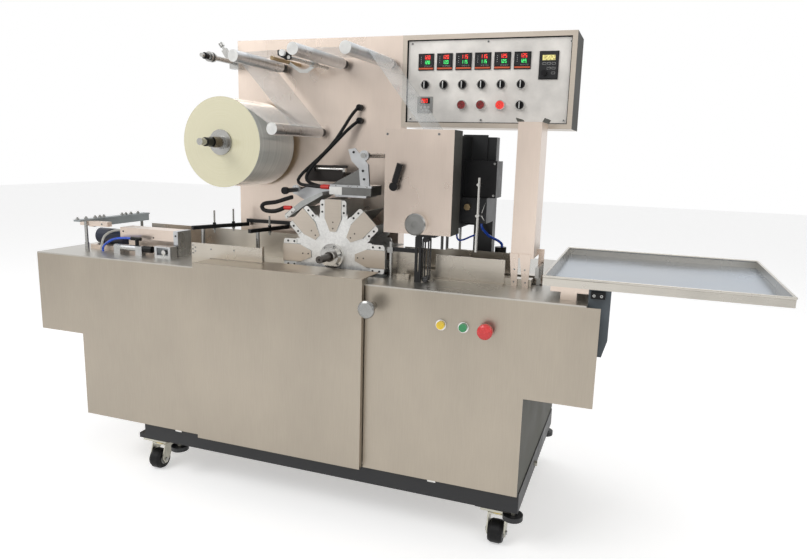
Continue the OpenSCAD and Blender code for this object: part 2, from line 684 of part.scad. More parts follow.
// Bar behind the heaters, on two standoffs, with a rod along its top
back_bar_y = 240;
back_bar_t = 8;
bar_outline = [[-309, 980], [-188, 981], [-163, 1032], [-283, 1030]];
standoffs = [[-280, 1004], [-196, 1004]];
standoff_r = 8;
bar_rod = [232, 1020, -272, -166];
bar_rod_r = 3.5;
pin_knob_r = 11;
pin_knob_l = 12;
module film_supports() color("#85888a") {
    nut_y = roll_y - chuck_lip - seam;
    tip_y = spindle_tip + spindle_tip_l;
    rod_y(roll_x, roll_z, [spindle_tip, tip_y], spindle_tip_r);
    rod_y(roll_x, roll_z, [tip_y, tip_y + hand_nut_l], hand_nut_r);
    rod_y(roll_x, roll_z, [tip_y + hand_nut_l, nut_y - nut_t], collar_r);
    rod_y(roll_x, roll_z, [nut_y - nut_t, nut_y], nut_r);
    rod_y(roll_x, roll_z, [nut_y, plate_y], spindle_r);
    rod_y(roll_x, roll_z, [roll_y + film_w + chuck_lip + seam, plate_y], 2 * spindle_r);
    for (p = roller_table) {
        rod_y(p[0], p[1], [p[2] + roller_cap + seam, plate_y], roller_shaft_r);
        rod_y(p[0], p[1], [plate_y - sleeve_l, plate_y], sleeve_r);
    }
    // tape guides
    for (p = guide_rods) rod_y(p[0], p[1], [p[2], plate_y], p[3]);
    rod_y(guide_rods[1][0], guide_rods[1][1], [guide_collar[1], guide_collar[2]], guide_collar[0]);
    plate_xz(trough_y, sheet) polygon(trough);
    plate_xz(tape_plate_y, tape_plate_t) polygon(tape_plate);
    rod_y(tape_wheel[0], tape_wheel[1], [tape_plate_y - tape_wheel[2], tape_plate_y], tape_wheel[3]);
    rod_y(tape_x, tape_z, [tape_y[0], tape_y[1]], tape_tip_r);
    rod_y(tape_x, tape_z, [tape_y[1], tape_y[2]], tape_grip_r);
    rod_y(tape_x, tape_z, [tape_y[2], tape_y[4]], tape_rod_r);
    for (y = [tape_y[2] + tape_disc_t, tape_y[3]]) rod_y(tape_x, tape_z, [y, y + tape_disc_t], tape_disc_r);
    block([tape_x - tape_clamp[0] / 2, tape_x + tape_clamp[0] / 2], [tape_y[4], plate_y],
        [tape_z - tape_clamp[2] / 2, tape_z + tape_clamp[2] / 2]);
    translate([tape_x, 0, tape_z]) rotate([0, -flat_lean, 0]) {
        block([-flat_w / 2, flat_w / 2], flat_y, [0, flat_l]);
        rod_z(0, (flat_y[0] + flat_y[1]) / 2, [flat_l, flat_l + flat_pin_l], flat_pin_r);
        rod_z(0, (flat_y[0] + flat_y[1]) / 2, [flat_l + flat_pin_l, flat_l + 2 * flat_pin_l], 2 * flat_pin_r);
    }
    // pivot pins of the heaters, and the bar behind them
    pin_y = block_y[0] - arm_pin_r;
    rod_y(arm_pivots[0][0], arm_pivots[0][1], [pin_y, plate_y], arm_pin_r);
    rod_y(arm_pivots[0][0], arm_pivots[0][1], [pin_y - pin_knob_l, pin_y], pin_knob_r);
    rod_y(arm_pivots[1][0], arm_pivots[1][1], [block_y[0], plate_y], arm_pin_r);
    plate_xz(back_bar_y, back_bar_t) polygon(bar_outline);
    for (p = standoffs) rod_y(p[0], p[1], [back_bar_y + back_bar_t, plate_y], standoff_r);
    rod_x(bar_rod[0], bar_rod[1], [bar_rod[2], bar_rod[3]], bar_rod_r);
    for (x = [bar_rod[2], bar_rod[3] - back_bar_t])
        block([x, x + back_bar_t], [bar_rod[0] - bar_rod_r, back_bar_y],
            [bar_rod[1] - back_bar_t, bar_rod[1] + bar_rod_r]);
}

chuck_r = 30;
chuck_lip = 6;
module film_roll() color("#e9e2c4") difference() {
    rod_y(roll_x, roll_z, [roll_y, roll_y + film_w], roll_r);
    rod_y(roll_x, roll_z, [roll_y - cut, roll_y + film_w + cut], core_r - core_wall);
}
core_wall = 4;
module roll_chucks() color("#9d9d9b") {
    chuck_in = 30;
    for (end = [[roll_y - chuck_lip, roll_y, roll_y + chuck_in],
                [roll_y + film_w, roll_y + film_w + chuck_lip, roll_y + film_w - chuck_in]])
        difference() {
            union() {
                rod_y(roll_x, roll_z, [end[0], end[1]], core_r);
                rod_y(roll_x, roll_z, [min(end[2], end[1]), max(end[2], end[0])], core_r - core_wall);
            }
            rod_y(roll_x, roll_z, [min(end[0], end[2]) - cut, max(end[1], end[2]) + cut], spindle_r + fit);
        }
}
module guide_roller(p) color("#c7c8ca") difference() {
    rod_y(p[0], p[1], [p[2], plate_y - sleeve_l - seam], roller_r);
    rod_y(p[0], p[1], [p[2] + roller_cap, plate_y - sleeve_l], roller_shaft_r + fit);
}

// Film web from the roll round the guide rollers into the film unit
web_t = 0.4;
web_gap = 0.3;
unit_x = 29;
unit_y = 65;
unit_z = 858;
// Points where a straight run leaves circle a and meets circle b on the given sides
function run_between(a, ra, b, rb) =
    let (d = norm(b - a), dir = atan2(b[1] - a[1], b[0] - a[0]), lean = acos((ra - rb) / d))
    [a + ra * [cos(dir + lean), sin(dir + lean)], b + rb * [cos(dir + lean), sin(dir + lean)]];
module web_run(a, b) {
    d = b - a;
    translate([a[0], roll_y, a[1]]) rotate([0, -atan2(d[1], d[0]), 0])
        block([0, norm(d)], [0, film_w], [0, web_t]);
}
module film_web() color("#e6eef0") {
    reach = roller_r + web_gap;
    centres = [for (p = roller_table) [p[0], p[1]]];
    from_roll = run_between([roll_x, roll_z], roll_r + web_gap, centres[3], -reach - web_t);
    to_left = run_between(centres[3], -reach - web_t, centres[0], reach);
    over_1 = run_between(centres[0], reach, centres[1], reach);
    over_2 = run_between(centres[1], reach, centres[2], reach);
    slot = [unit_x + unit_w / 2, unit_z + unit_h];
    down = run_between(centres[2], reach, slot, 0);
    web_run(over_1[0], over_1[1]);
    web_run(over_2[0], over_2[1]);
    web_run(down[0], down[1]);
    web_run(to_left[0], to_left[1]);
    web_run(from_roll[0], from_roll[1]);
}

// Film unit: sheet cover, frame with its nip rollers, crank and feed knob
crank_x = unit_x + 32;
crank_z = unit_z + 127;
crank_pin_r = 5;
feed_x = unit_x + 99;
feed_z = unit_z + 29;
feed_r = 30;
feed_proud = 25;
feed_pin_r = 6;
unit_back = unit_y + unit_d;
slot_w = 12;
module film_unit_cover() color("#d9c9b9") difference() {
    block([unit_x, unit_x + unit_w], [unit_y, unit_back], [unit_z, unit_z + unit_h]);
    block([unit_x + sheet, unit_x + unit_w - sheet], [unit_y + sheet, unit_back + cut],
        [unit_z - cut, unit_z + unit_h - sheet]);
    block([unit_x + unit_w / 2 - slot_w, unit_x + unit_w / 2 + slot_w], [roll_y - slot_w, unit_back + cut],
        [unit_z + unit_h - sheet - cut, unit_z + unit_h + cut]);
    rod_y(crank_x, crank_z, [unit_y - cut, unit_y + sheet + cut], crank_pin_r + fit);
    rod_y(feed_x, feed_z, [unit_y - cut, unit_y + sheet + cut], feed_pin_r + fit);
}
side_t = 12;
unit_frame_x = [unit_x + 6, unit_x + unit_w - 6];
nip_r = 16;
column_x = 232;
column_w = 56;
column_y = [282, 322];
cheek_x = [190, 263];
cheek_z = [1058, 1132];
cheek_t = 6;
guard_x = [193, 310];
guard_y = 200;
guard_z = [957, 1059];
guard_edge = 8;
guard_t = 3;
pulleys = [[222, 1008, 20], [281, 1008, 20]];
valve_x = [211, 290];
valve_y = 182;
valve_z = [886, 956.7];
fitting = [237, 931, 168, 9];
link_x = 277;
link_y = 130;
link_r = 4;
link_z = [812, 1015];
link_bolts = [912, 996];
strips = [[181, 188, 786]];
strip_y = [307, 310];
module film_unit_frame() color("#3c3f42") {
    back_y = unit_back + seam;
    level = [unit_z + side_t, unit_z + unit_h - side_t];
    for (x = [unit_frame_x[0], unit_frame_x[1] - side_t])
        block([x, x + side_t], [back_y, plate_y - seam], level);
    inside = [unit_frame_x[0] + side_t + seam, unit_frame_x[1] - side_t - seam];
    block(inside, [plate_y - side_t, plate_y - seam], level);
    block([unit_x, unit_x + unit_w], [back_y, back_y + sheet], [unit_z, level[0] - seam]);
    for (x = [-1, 1], z = [unit_h / 4, unit_h * 3 / 4])
        rod_x(plate_y - 3 * side_t, unit_z + z, inside, nip_r / (x + 2));
    // column from the table that carries the unit, with its ties and cheek plate
    block([column_x, column_x + column_w], column_y, [table_h, level[1]]);
    block([unit_frame_x[1] + seam, column_x - seam], [column_y[0], column_y[0] + side_t], level);
    block([plate_x1 + seam, unit_frame_x[0] - seam], [plate_y - side_t, plate_y - seam], level);
    block(cheek_x, [column_y[0] - cheek_t, column_y[0]], cheek_z);
    for (p = strips) block([p[0], p[1]], strip_y, [p[2], level[0] + side_t]);
    // guard over the drive pulleys, open at the back
    difference() {
        block(guard_x, [guard_y, column_y[0] - cheek_t - seam], guard_z);
        block([guard_x[0] + guard_t, guard_x[1] - guard_t], [guard_y + guard_t, column_y[0]],
            [guard_z[0] + guard_t, guard_z[1] - guard_t]);
    }
    for (p = pulleys) rod_y(p[0], p[1], [guard_y + guard_edge, column_y[0]], p[2]);
    // valve box below it, with its fitting and the hanging link
    block(valve_x, [valve_y, column_y[0]], valve_z);
    rod_y(fitting[0], fitting[1], [fitting[2], valve_y], fitting[3]);
    rod_z(link_x, link_y, link_z, link_r);
    rod_y(link_x, link_bolts[0], [link_y - link_r * 2, valve_y], link_r);
    rod_y(link_x, link_bolts[1], [link_y - link_r * 2, guard_y], link_r);
}

grip_r = 9;
grip_l = 52;
module crank_handle() color("#1f1f20") {
    rod_y(crank_x, crank_z, [unit_y - side_t, unit_y + sheet + side_t], crank_pin_r);
    lean = 16;
    translate([crank_x, unit_y - side_t, crank_z]) rotate([0, lean, 0]) {
        rod_y(0, 0, [-side_t / 2, 0], side_t);
        block([-side_t / 2, side_t / 2], [-side_t / 2, 0], [0, side_t]);
        rod_z(0, -side_t / 4, [side_t, side_t + grip_l], grip_r);
    }
}
module feed_knob() color("#cfd0d0") {
    edge = 3;
    rod_y(feed_x, feed_z, [unit_y - seam, unit_y + 3 * side_t], feed_pin_r);
    translate([feed_x, unit_y - feed_proud, feed_z]) rotate([-90, 0, 0]) rotate_extrude() polygon([
        [0, edge / 2], [feed_r / 3, edge / 2], [feed_r / 3, 0], [feed_r - edge, 0], [feed_r, edge],
        [feed_r, feed_proud - edge], [feed_r - edge, feed_proud - seam], [0, feed_proud - seam]]);
}

// Vertical feed belts in front of and behind the lane
belt_top = unit_z - 10;
belt_t = 2;
belt_w = 9;
belt_run_r = 7;
belt_x = 134;
belt_fronts = [100, 120];
belt_rears = [279, 294];
bar_w = 18;
bar_slot = [5, 30];
bar_t = 9;
module belt_loop(y) {
    low = table_h + belt_run_r + belt_t + seam;
    high = belt_top - belt_run_r - belt_t;
    mid = belt_x + belt_run_r;
    difference() {
        union() {
            block([mid - belt_run_r - belt_t, mid + belt_run_r + belt_t], [y, y + belt_w], [low, high]);
            for (z = [low, high]) rod_y(mid, z, [y, y + belt_w], belt_run_r + belt_t);
        }
        block([mid - belt_run_r, mid + belt_run_r], [y - cut, y + belt_w + cut], [low, high]);
        for (z = [low, high]) rod_y(mid, z, [y - cut, y + belt_w + cut], belt_run_r);
    }
    for (z = [low, high]) rod_y(mid, z, [y, y + belt_w], belt_run_r - seam);
}
module feed_belts() color("#2c2c2e") {
    for (y = belt_fronts) belt_loop(y);
    for (y = belt_rears) belt_loop(y);
    bar_x = [belt_x - bar_w - belt_t - seam, belt_x - belt_t - seam];
    bar_mid = (bar_x[0] + bar_x[1]) / 2;
    difference() {
        block(bar_x, [belt_fronts[0] - bar_t, belt_fronts[0] - seam], [table_h, belt_top]);
        block([bar_mid - bar_slot[0] / 2, bar_mid + bar_slot[0] / 2],
            [belt_fronts[0] - bar_t - cut, belt_fronts[0] + cut],
            [table_h + bar_slot[1], belt_top - bar_slot[1]]);
    }
    block([belt_x - bar_w, belt_x + bar_w * 2], [belt_fronts[0] - bar_t, belt_rears[1] + belt_w],
        [belt_top, unit_z]);
}

// Air hoses on their real routes
hose_r = 4;
thin_hose_r = 3;
left_hose = [[-1008, 110, 720], [-1008, 110, 725], [-1008, 110, 730], [-1002, 110, 739], [-988, 110, 750],
    [-966, 109, 761], [-940, 107, 768], [-912, 106, 771], [-895, 105, 772], [-888, 105, 772], [-881, 105, 772]];
pale_hose = [[-1026, 124, 720], [-1026, 124, 726], [-1026, 124, 732], [-1024, 125, 746], [-1018, 129, 766],
    [-1004, 136, 780], [-986, 144, 787], [-968, 149, 790], [-962, 150, 790], [-956, 150, 790],
    [-949.3, 150, 790]];
tail_hose = [[262, 250, 886], [262, 250, 880], [262, 250, 874], [266, 254, 862], [282, 270, 842],
    [304, 290, 828], [314, 297, 819], [316, 298, 814], [316, 298, 811], [316, 298, 808]];
thin_hose = [[240, 282, 842], [240, 278, 842], [240, 274, 842], [228, 268, 837], [206, 266, 826],
    [190, 268, 824], [184, 270, 836], [184, 270, 852], [184, 270, 866]];
manifold_x = 312;
manifold_y = 300;
manifold_r = 17;
manifold_h = 88;
module air_hoses() color("#1f58c8") {
    swept_tube(left_hose, hose_r, 8, 2);
    swept_tube(pale_hose, hose_r, 8, 2);
    swept_tube(tail_hose, hose_r, 8, 2);
    swept_tube(thin_hose, thin_hose_r, 6, 2);
    color("#1d1d1f") rod_z(manifold_x, manifold_y, [table_h, table_h + manifold_h], manifold_r);
}
// Heater cables with their glands and sleeves
cable_r = 5;
gland_r = 10;
gland_l = 16;
cable_glands = [[-157, 1209], [-156, 1169]];
cable_a = [[-157, 322, 1209], [-157, 316, 1209], [-157, 310, 1209], [-164, 302, 1202], [-180, 291, 1177],
    [-214, 268, 1112], [-246, 244, 1066], [-276, 220, 1030], [-296, 200, 1004], [-304, 186, 984],
    [-290, 178, 972], [-262, 172, 970], [-236, 169, 968], [-224, 168, 968], [-216, 168, 968]];
cable_b = [[-156, 322, 1169], [-156, 316, 1169], [-156, 310, 1169], [-164, 301, 1162], [-184, 284, 1140],
    [-222, 258, 1092], [-254, 232, 1050], [-274, 212, 1020], [-282, 200, 998], [-276, 192, 984],
    [-258, 188, 975], [-236, 186, 970], [-226, 186, 968], [-218, 186, 968]];
cable_sleeves = [[-216, 168, 968], [-218, 186, 968]];
sleeve_tube_l = 26;
sleeve_tube_r = 6.5;
// Loop at the left heater: a long sleeve bent back on itself
loop_cable = [[-312, 165, 932], [-318, 165, 931], [-340, 165, 924], [-372, 165, 914], [-400, 165, 910],
    [-414, 165, 906], [-420, 165, 897], [-413, 165, 888], [-398, 165, 885], [-374, 165, 886],
    [-352, 165, 893], [-344, 165, 897], [-338, 165, 899]];
loop_sleeve = [-340, -315.3];
module heater_cables() color("#161617") {
    swept_tube(cable_a, cable_r, 8, 2);
    swept_tube(cable_b, cable_r, 8, 2);
    swept_tube(loop_cable, sleeve_tube_r, 8, 2);
    for (p = cable_glands)
        rod_y(p[0], p[1], [plate_y - gland_l, plate_y], gland_r);
    for (p = cable_sleeves)
        rod_x(p[1], p[2], [p[0], p[0] + sleeve_tube_l], sleeve_tube_r);
    rod_x(loop_cable[0][1], loop_cable[12][2], loop_sleeve, sleeve_tube_r);
}

// Heaters over the turret, each on an arm that pivots on a pin from the back plate
arm_pivots = [[-321, 953], [-74, 1064]];
arm_pin_r = 7;
arm_t = 7;
arm_eye_r = 15;
block_y = [150, 232];
left_profile = [[-319, 870], [-265, 908], [-202, 944], [-204, 954], [-274, 923], [-330, 881]];
left_arm = [[-321, 938], [-306, 953], [-268, 971], [-196, 977], [-190, 958], [-204, 944], [-274, 915]];
left_arm_y = 204;
left_strap = [[-314, 873], [-322, 866], [-330, 875], [-300, 903], [-292, 896]];
strap_t = 3;
module heater_arm_1() color("#a9adab") {
    p = arm_pivots[0];
    plate_xz(block_y[0], block_y[1] - block_y[0]) polygon(left_profile);
    plate_xz(block_y[0] - strap_t, strap_t) polygon(left_strap);
    difference() {
        union() {
            plate_xz(left_arm_y, arm_t) polygon(left_arm);
            rod_y(p[0], p[1], [left_arm_y, left_arm_y + arm_t], arm_eye_r);
        }
        rod_y(p[0], p[1], [left_arm_y - cut, left_arm_y + arm_t + cut], arm_pin_r + fit);
    }
}
heater_x = [-180, -139, -46];
heater_z = [942, 948, 977];
base_x = [-161, -61];
heater_lid = 6;
gusset = [[-180, 977], [-88, 1026], [-88, 977]];
right_arm = [[-124, 1080], [-102, 1085], [-60, 1039], [-55, 977], [-84, 977], [-89, 1026], [-112, 1047]];
arm_front = 158;
module heater_arm_2() color("#7f8382") {
    p = arm_pivots[1];
    block(base_x, block_y, [heater_z[0], heater_z[1]]);
    lid_z = heater_z[2] - heater_lid;
    block([heater_x[0], heater_x[1] - seam], block_y, [heater_z[1], lid_z - seam]);
    block([heater_x[1], heater_x[2]], block_y, [heater_z[1], lid_z]);
    block([heater_x[0], heater_x[2]], [block_y[0] + strap_t, block_y[1]], [lid_z, heater_z[2]]);
    plate_xz(arm_front + arm_t, arm_t) polygon(gusset);
    difference() {
        union() {
            plate_xz(arm_front, arm_t) polygon(right_arm);
            rod_y(p[0], p[1], [arm_front, arm_front + 2 * arm_t], arm_eye_r);
        }
        rod_y(p[0], p[1], [arm_front - cut, arm_front + 2 * arm_t + cut], arm_pin_r + fit);
    }
}

// Magazine: a column of three folded sheets with flared lips, open at the foot
magazine_y = [lane_y0 - 2, lane_y0 - 2 + magazine_d];
magazine_foot = lane_z + carton_h + 5;
lip = 12;
leg_t = 3;
flare = 30;
leg_h = magazine_foot - table_h + lip;
left_leg = [[-2, leg_h], [22, leg_h], [22, 0], [7, 0]];
right_leg = [[25, leg_h], [56, leg_h], [53, 0], [37, 0]];
back_leg_w = 14;
module magazine() color("#cfc2b2") {
    x = [magazine_x, magazine_x + magazine_w];
    y = magazine_y;
    top = table_h + magazine_h;
    block(x, [y[0], y[0] + sheet], [magazine_foot, top]);
    block([x[1] - sheet, x[1]], [y[0] + sheet + seam, y[1]], [magazine_foot, top]);
    block([x[0], x[0] + sheet], [y[1] - 3 * lip, y[1]], [magazine_foot, top]);
    for (side = [0, 1])
        translate([x[side], 0, top]) mirror([side, 0, 0])
            rotate([0, -flare, 0]) block([-sheet, 0], y, [seam, lip]);
    for (leg = [left_leg, right_leg])
        plate_xz(y[0] - leg_t, leg_t) polygon([for (p = leg) [x[0] + p[0], table_h + p[1]]]);
    block([x[1] - sheet, x[1] + back_leg_w], [y[1] + seam, y[1] + leg_t],
        [table_h, magazine_foot + back_leg_w]);
}

// Lane between the magazine and the turret
guide_t = 4;
lane_x = [20, magazine_x - 6];
floor_w = 34;
guide_top = lane_z + carton_h - 4;
guide_clear = 6;
front_wall_end = 14;
stop_rod_x = 27;
stop_rod_y = 132;
stop_rod_r = 5;
stop_rod_h = 103;
stop_clamp = [16, 72, 16];
stop_bar = [75, 8, 12];
small_block = [[54, 90], [112, 130], 14];
cap_w = 22;
cap_slots = [190, 250, 310];
cap_slot = [26, 5];
module infeed_guides() color("#c9bfb0") {
    wall_x = [belt_x + belt_run_r * 2 + belt_t * 3, magazine_x - front_wall_end];
    front = [lane_y0 - guide_t, lane_y0];
    block(wall_x, front, [table_h, guide_top]);
    block(wall_x, [front[0] - flange_w, front[0] - seam], [table_h, table_h + guide_t]);
    block([lane_x[0], belt_x - bar_w - belt_t * 3], front, [table_h, guide_top]);
    block(lane_x, [lane_y1, lane_y1 + guide_t], [table_h, guide_top]);
    // slotted strip folded back from the top of the rear wall
    difference() {
        block([wall_x[0], lane_x[1]], [lane_y1, column_y[0] - seam], [guide_top + seam, guide_top + guide_t]);
        for (x = cap_slots)
            block([x, x + cap_slot[0]], [lane_y1 + guide_t, lane_y1 + guide_t + cap_slot[1]],
                [guide_top - cut, guide_top + guide_t + cut]);
    }
    for (y = [lane_y0 + seam, lane_y1 - floor_w - seam])
        block([lane_x[0], magazine_x + magazine_w - sheet - seam], [y, y + floor_w], [table_h, lane_z]);
    // stop rod with its clamp and bar, and a small stop block on the table
    rod_z(stop_rod_x, stop_rod_y, [table_h, table_h + stop_rod_h], stop_rod_r);
    half = stop_clamp[0] / 2;
    clamp_z = table_h + stop_clamp[1];
    clamp_top = clamp_z + stop_clamp[2];
    stop_end = stop_rod_x + half;
    block([stop_rod_x - half, stop_end], [stop_rod_y - half, stop_rod_y + half], [clamp_z, clamp_top]);
    block([stop_end, stop_end + stop_bar[0]],
        [stop_rod_y - stop_bar[1] / 2, stop_rod_y + stop_bar[1] / 2], [clamp_top - stop_bar[2], clamp_top]);
    block(small_block[0], small_block[1], [table_h, table_h + small_block[2]]);
    // rails of the pusher's carriage, hung under the table
    mid = (lane_y0 + lane_y1) / 2;
    for (x = [rail_ends[0], rail_ends[1] - pusher_t])
        block([x, x + pusher_t], [mid - carriage_half, mid + carriage_half],
            [pusher_rod_z - carriage_h, under_table]);
    for (y = [mid - pusher_rod_at, mid + pusher_rod_at])
        rod_x(y, pusher_rod_z, [rail_ends[0] + pusher_t, rail_ends[1] - pusher_t], pusher_rod_r);
}

// Pusher: a finger through the table slot on a carriage under the table
carriage_x = magazine_x + magazine_w + 5;
pusher_t = 10;
pusher_rod_r = 6;
pusher_rod_at = 30;
carriage_half = 40;
carriage_h = 12;
finger_drop = 20;
pusher_rod_z = under_table - 26;
rail_ends = [magazine_x - 38, magazine_x + magazine_w + 47];
module pusher() color("#8b8f93") {
    x = [carriage_x, carriage_x + pusher_t];
    mid = (lane_y0 + lane_y1) / 2;
    top = lane_z + carton_h - finger_drop;
    block(x, [mid - pusher_t, mid + pusher_t], [pusher_rod_z + carriage_h, top]);
    block(x, [lane_y0 + pusher_t, lane_y1 - pusher_t], [lane_z + guide_t, top]);
    difference() {
        block([x[0] - pusher_t, x[1] + pusher_t], [mid - carriage_half, mid + carriage_half],
            [pusher_rod_z - carriage_h, pusher_rod_z + carriage_h]);
        for (y = [mid - pusher_rod_at, mid + pusher_rod_at])
            rod_x(y, pusher_rod_z, [x[0] - pusher_t - cut, x[1] + pusher_t + cut], pusher_rod_r + fit);
    }
}

// Tray with a rolled hem round its rim, on two bars and a bracket
tray_z = table_h + tray_rise;
tray_y = [32, 32 + tray_d];
hem_r = 3.5;
module tray() color("#cdc8bd") {
    inset = hem_r - sheet / 2;
    x = [tray_x + inset, tray_x1 - inset];
    y = [tray_y[0] + inset, tray_y[1] - inset];
    hem_z = tray_z - hem_r;
    difference() {
        block(x, y, [tray_z - tray_rim, hem_z]);
        block([x[0] + sheet, x[1] - sheet], [y[0] + sheet, y[1] - sheet],
            [tray_z - tray_rim + sheet, tray_z + cut]);
    }
    for (side = [tray_y[0] + hem_r, tray_y[1] - hem_r]) {
        rod_x(side, hem_z, [tray_x + hem_r, tray_x1 - hem_r], hem_r);
        for (end = [tray_x + hem_r, tray_x1 - hem_r]) translate([end, side, hem_z]) sphere(r = hem_r);
    }
    for (end = [tray_x + hem_r, tray_x1 - hem_r])
        rod_y(end, hem_z, [tray_y[0] + hem_r, tray_y[1] - hem_r], hem_r);
}
bar_start = tray_x + 21;
support_t = 16;
support_w = 18;
support_y = [52, 540];
foot_block = [40, 30];
bracket_reach = 20;
bracket_y = 40;
bracket_t = 4;
bracket_l = 172;
bracket_taper = 44;
tray_clamp_x = [598, 633];
tray_clamp_z = [734, 751];
tray_clamp_t = 14;
module tray_brackets() color("#6c6f72") {
    top = tray_z - tray_rim;
    right = table_x1 + bracket_reach;
    for (y = support_y) {
        block([bar_start, end_x - seam], [y, y + support_w], [top - support_t, top]);
        block([end_x - foot_block[1] - foot_block[0], end_x - foot_block[1]], [y, y + support_w],
            [table_h, top - support_t]);
    }
    plate_xz(bracket_y, bracket_t) polygon([
        [end_x, top], [right, top], [right, top - bracket_l + bracket_taper],
        [right - bracket_t * 3, top - bracket_l], [end_x, top - bracket_l]]);
    block([end_x, end_x + bracket_t], [bracket_y + bracket_t, bracket_y + bracket_taper],
        [top - bracket_l, top]);
    block(tray_clamp_x, [bracket_y - tray_clamp_t, bracket_y], tray_clamp_z);
}

// Outfeed: guides, hold-down bars with threaded rods, rear wall
out_front_y = 70;
out_x = [-616, -365];
out_wall_h = 62;
out_rear_x = [-942, well_x[0] - 12];
out_rear_y = lane_y1 + guide_clear;
out_rear_h = 84;
hold_z = [table_h + 95, table_h + 107];
bar_half = 6;
thread_r = 3;
thread_nut_r = 6;
thread_nut_h = 6;
module flat_bar(a, b, z) {
    d = b - a;
    translate([a[0], a[1], z[0]]) rotate(atan2(d[1], d[0]))
        translate([0, -bar_half, 0]) cube([norm(d), 2 * bar_half, z[1] - z[0]]);
}
bar_a = [[-650, 121], [-565, 312]];
bar_b = [[-450, 139], [-410, 312]];
bar_posts = [0.18, 0.2];
threads = [[bar_a, 0.38, 153], [bar_a, 0.72, 155], [bar_b, 0.5, 143]];
thread_drop = 14;
module outfeed_guides() color("#b8afa2") {
    low = table_h + out_wall_h;
    plate_xz(out_front_y, guide_t) polygon([
        [out_x[0], table_h], [cover_x0 - sheet, table_h], [cover_x0 - sheet, cover_top + sheet],
        [out_x[1], cover_top + sheet], [out_x[1], low], [out_x[0], low]]);
    block([out_x[0], cover_x0 - sheet], [out_front_y + guide_t + seam, out_front_y + flange_w],
        [table_h, table_h + guide_t]);
    block([out_x[1] + seam, out_x[1] + bar_half], [out_front_y - bar_half, out_front_y + bar_half],
        [cover_top + sheet, low + guide_t]);
    block(out_rear_x, [out_rear_y, out_rear_y + guide_t], [table_h, table_h + out_rear_h]);
    color("#2a2b2d") {
        flat_bar(bar_a[0], bar_a[1], hold_z);
        flat_bar(bar_b[0], bar_b[1], hold_z);
        block([bar_a[1][0] - bar_half, bar_b[1][0] + bar_half], [plate_y - 2 * bar_half, plate_y],
            [hold_z[1] + seam, hold_z[1] + 2 * bar_half]);
    }
    for (p = [lerp(bar_a[0], bar_a[1], bar_posts[0]), lerp(bar_b[0], bar_b[1], bar_posts[1])])
        rod_z(p[0], p[1], [table_h, hold_z[0]], bar_half);
    // threaded rods through the bars, with a nut on each side
    for (t = threads) {
        p = lerp(t[0][0], t[0][1], t[1]);
        rod_z(p[0], p[1], [hold_z[0] - thread_drop, table_h + t[2]], thread_r);
        for (z = [hold_z[0] - thread_nut_h, hold_z[1]])
            translate([p[0], p[1], z]) cylinder(r = thread_nut_r, h = thread_nut_h, $fn = 6);
    }
}
// Side heater on its foot, with the small cylinder, its fitting and the anvil
heater_box = [[-949, -730], [130, 190], [768, 803]];
heater_foot = [[-940, -740], [158, 184]];
end_cap = [[-729, -712], [126, 194], [720, 803]];
press_x = [-940, -826];
press_y = 97;
press_z = table_h + 22;
press_r = 10;
press_foot = [26, 8];
port_x = [-881, -843];
port_r = 6;
port_z = 772;
port_y = 105;
rod_r = 4;
rod_in = 30;
head_r = 11;
head_x = [-822, -790];
anvil = [[-772, -710], [84, 118], 37, 9];
anvil_knob = [-732, 8, 6];
module outfeed_press() color("#d6cdc2") {
    block(heater_box[0], heater_box[1], heater_box[2]);
    block(heater_foot[0], heater_foot[1], [table_h, heater_box[2][0]]);
    block(end_cap[0], end_cap[1], end_cap[2]);
    difference() {
        union() {
            rod_x(press_y, press_z, press_x, press_r);
            for (x = [press_x[0], press_x[1] - press_foot[0]])
                block([x, x + press_foot[0]], [press_y - press_r, press_y + press_r],
                    [table_h, press_z + press_foot[1]]);
        }
        rod_x(press_y, press_z, [press_x[1] - 2 * rod_in, press_x[1] + cut], rod_r + fit);
    }
    rod_x(port_y, port_z, port_x, port_r);
    rod_z(port_x[1] - 2 * port_r, press_y + rod_r, [press_z + press_foot[1], port_z], port_r);
    // anvil block with a recess and a clamping knob
    difference() {
        block(anvil[0], anvil[1], [table_h, table_h + anvil[2]]);
        block([anvil[0][0] + anvil[3], anvil[0][1] - anvil[3]], [anvil[1][0] - cut, anvil[1][1] - anvil[3]],
            [table_h + anvil[3], table_h + anvil[2] - anvil[3] / 2]);
    }
    rod_y(anvil_knob[0], press_z - anvil_knob[2] / 2,
        [anvil[1][0] - anvil_knob[2], anvil[1][1] - anvil[3]], anvil_knob[1]);
}
module press_rod() color("#c8c9ca") {
    rod_x(press_y, press_z, [press_x[1] - rod_in, head_x[0]], rod_r);
    rod_x(press_y, press_z, [head_x[0], head_x[1]], head_r);
}
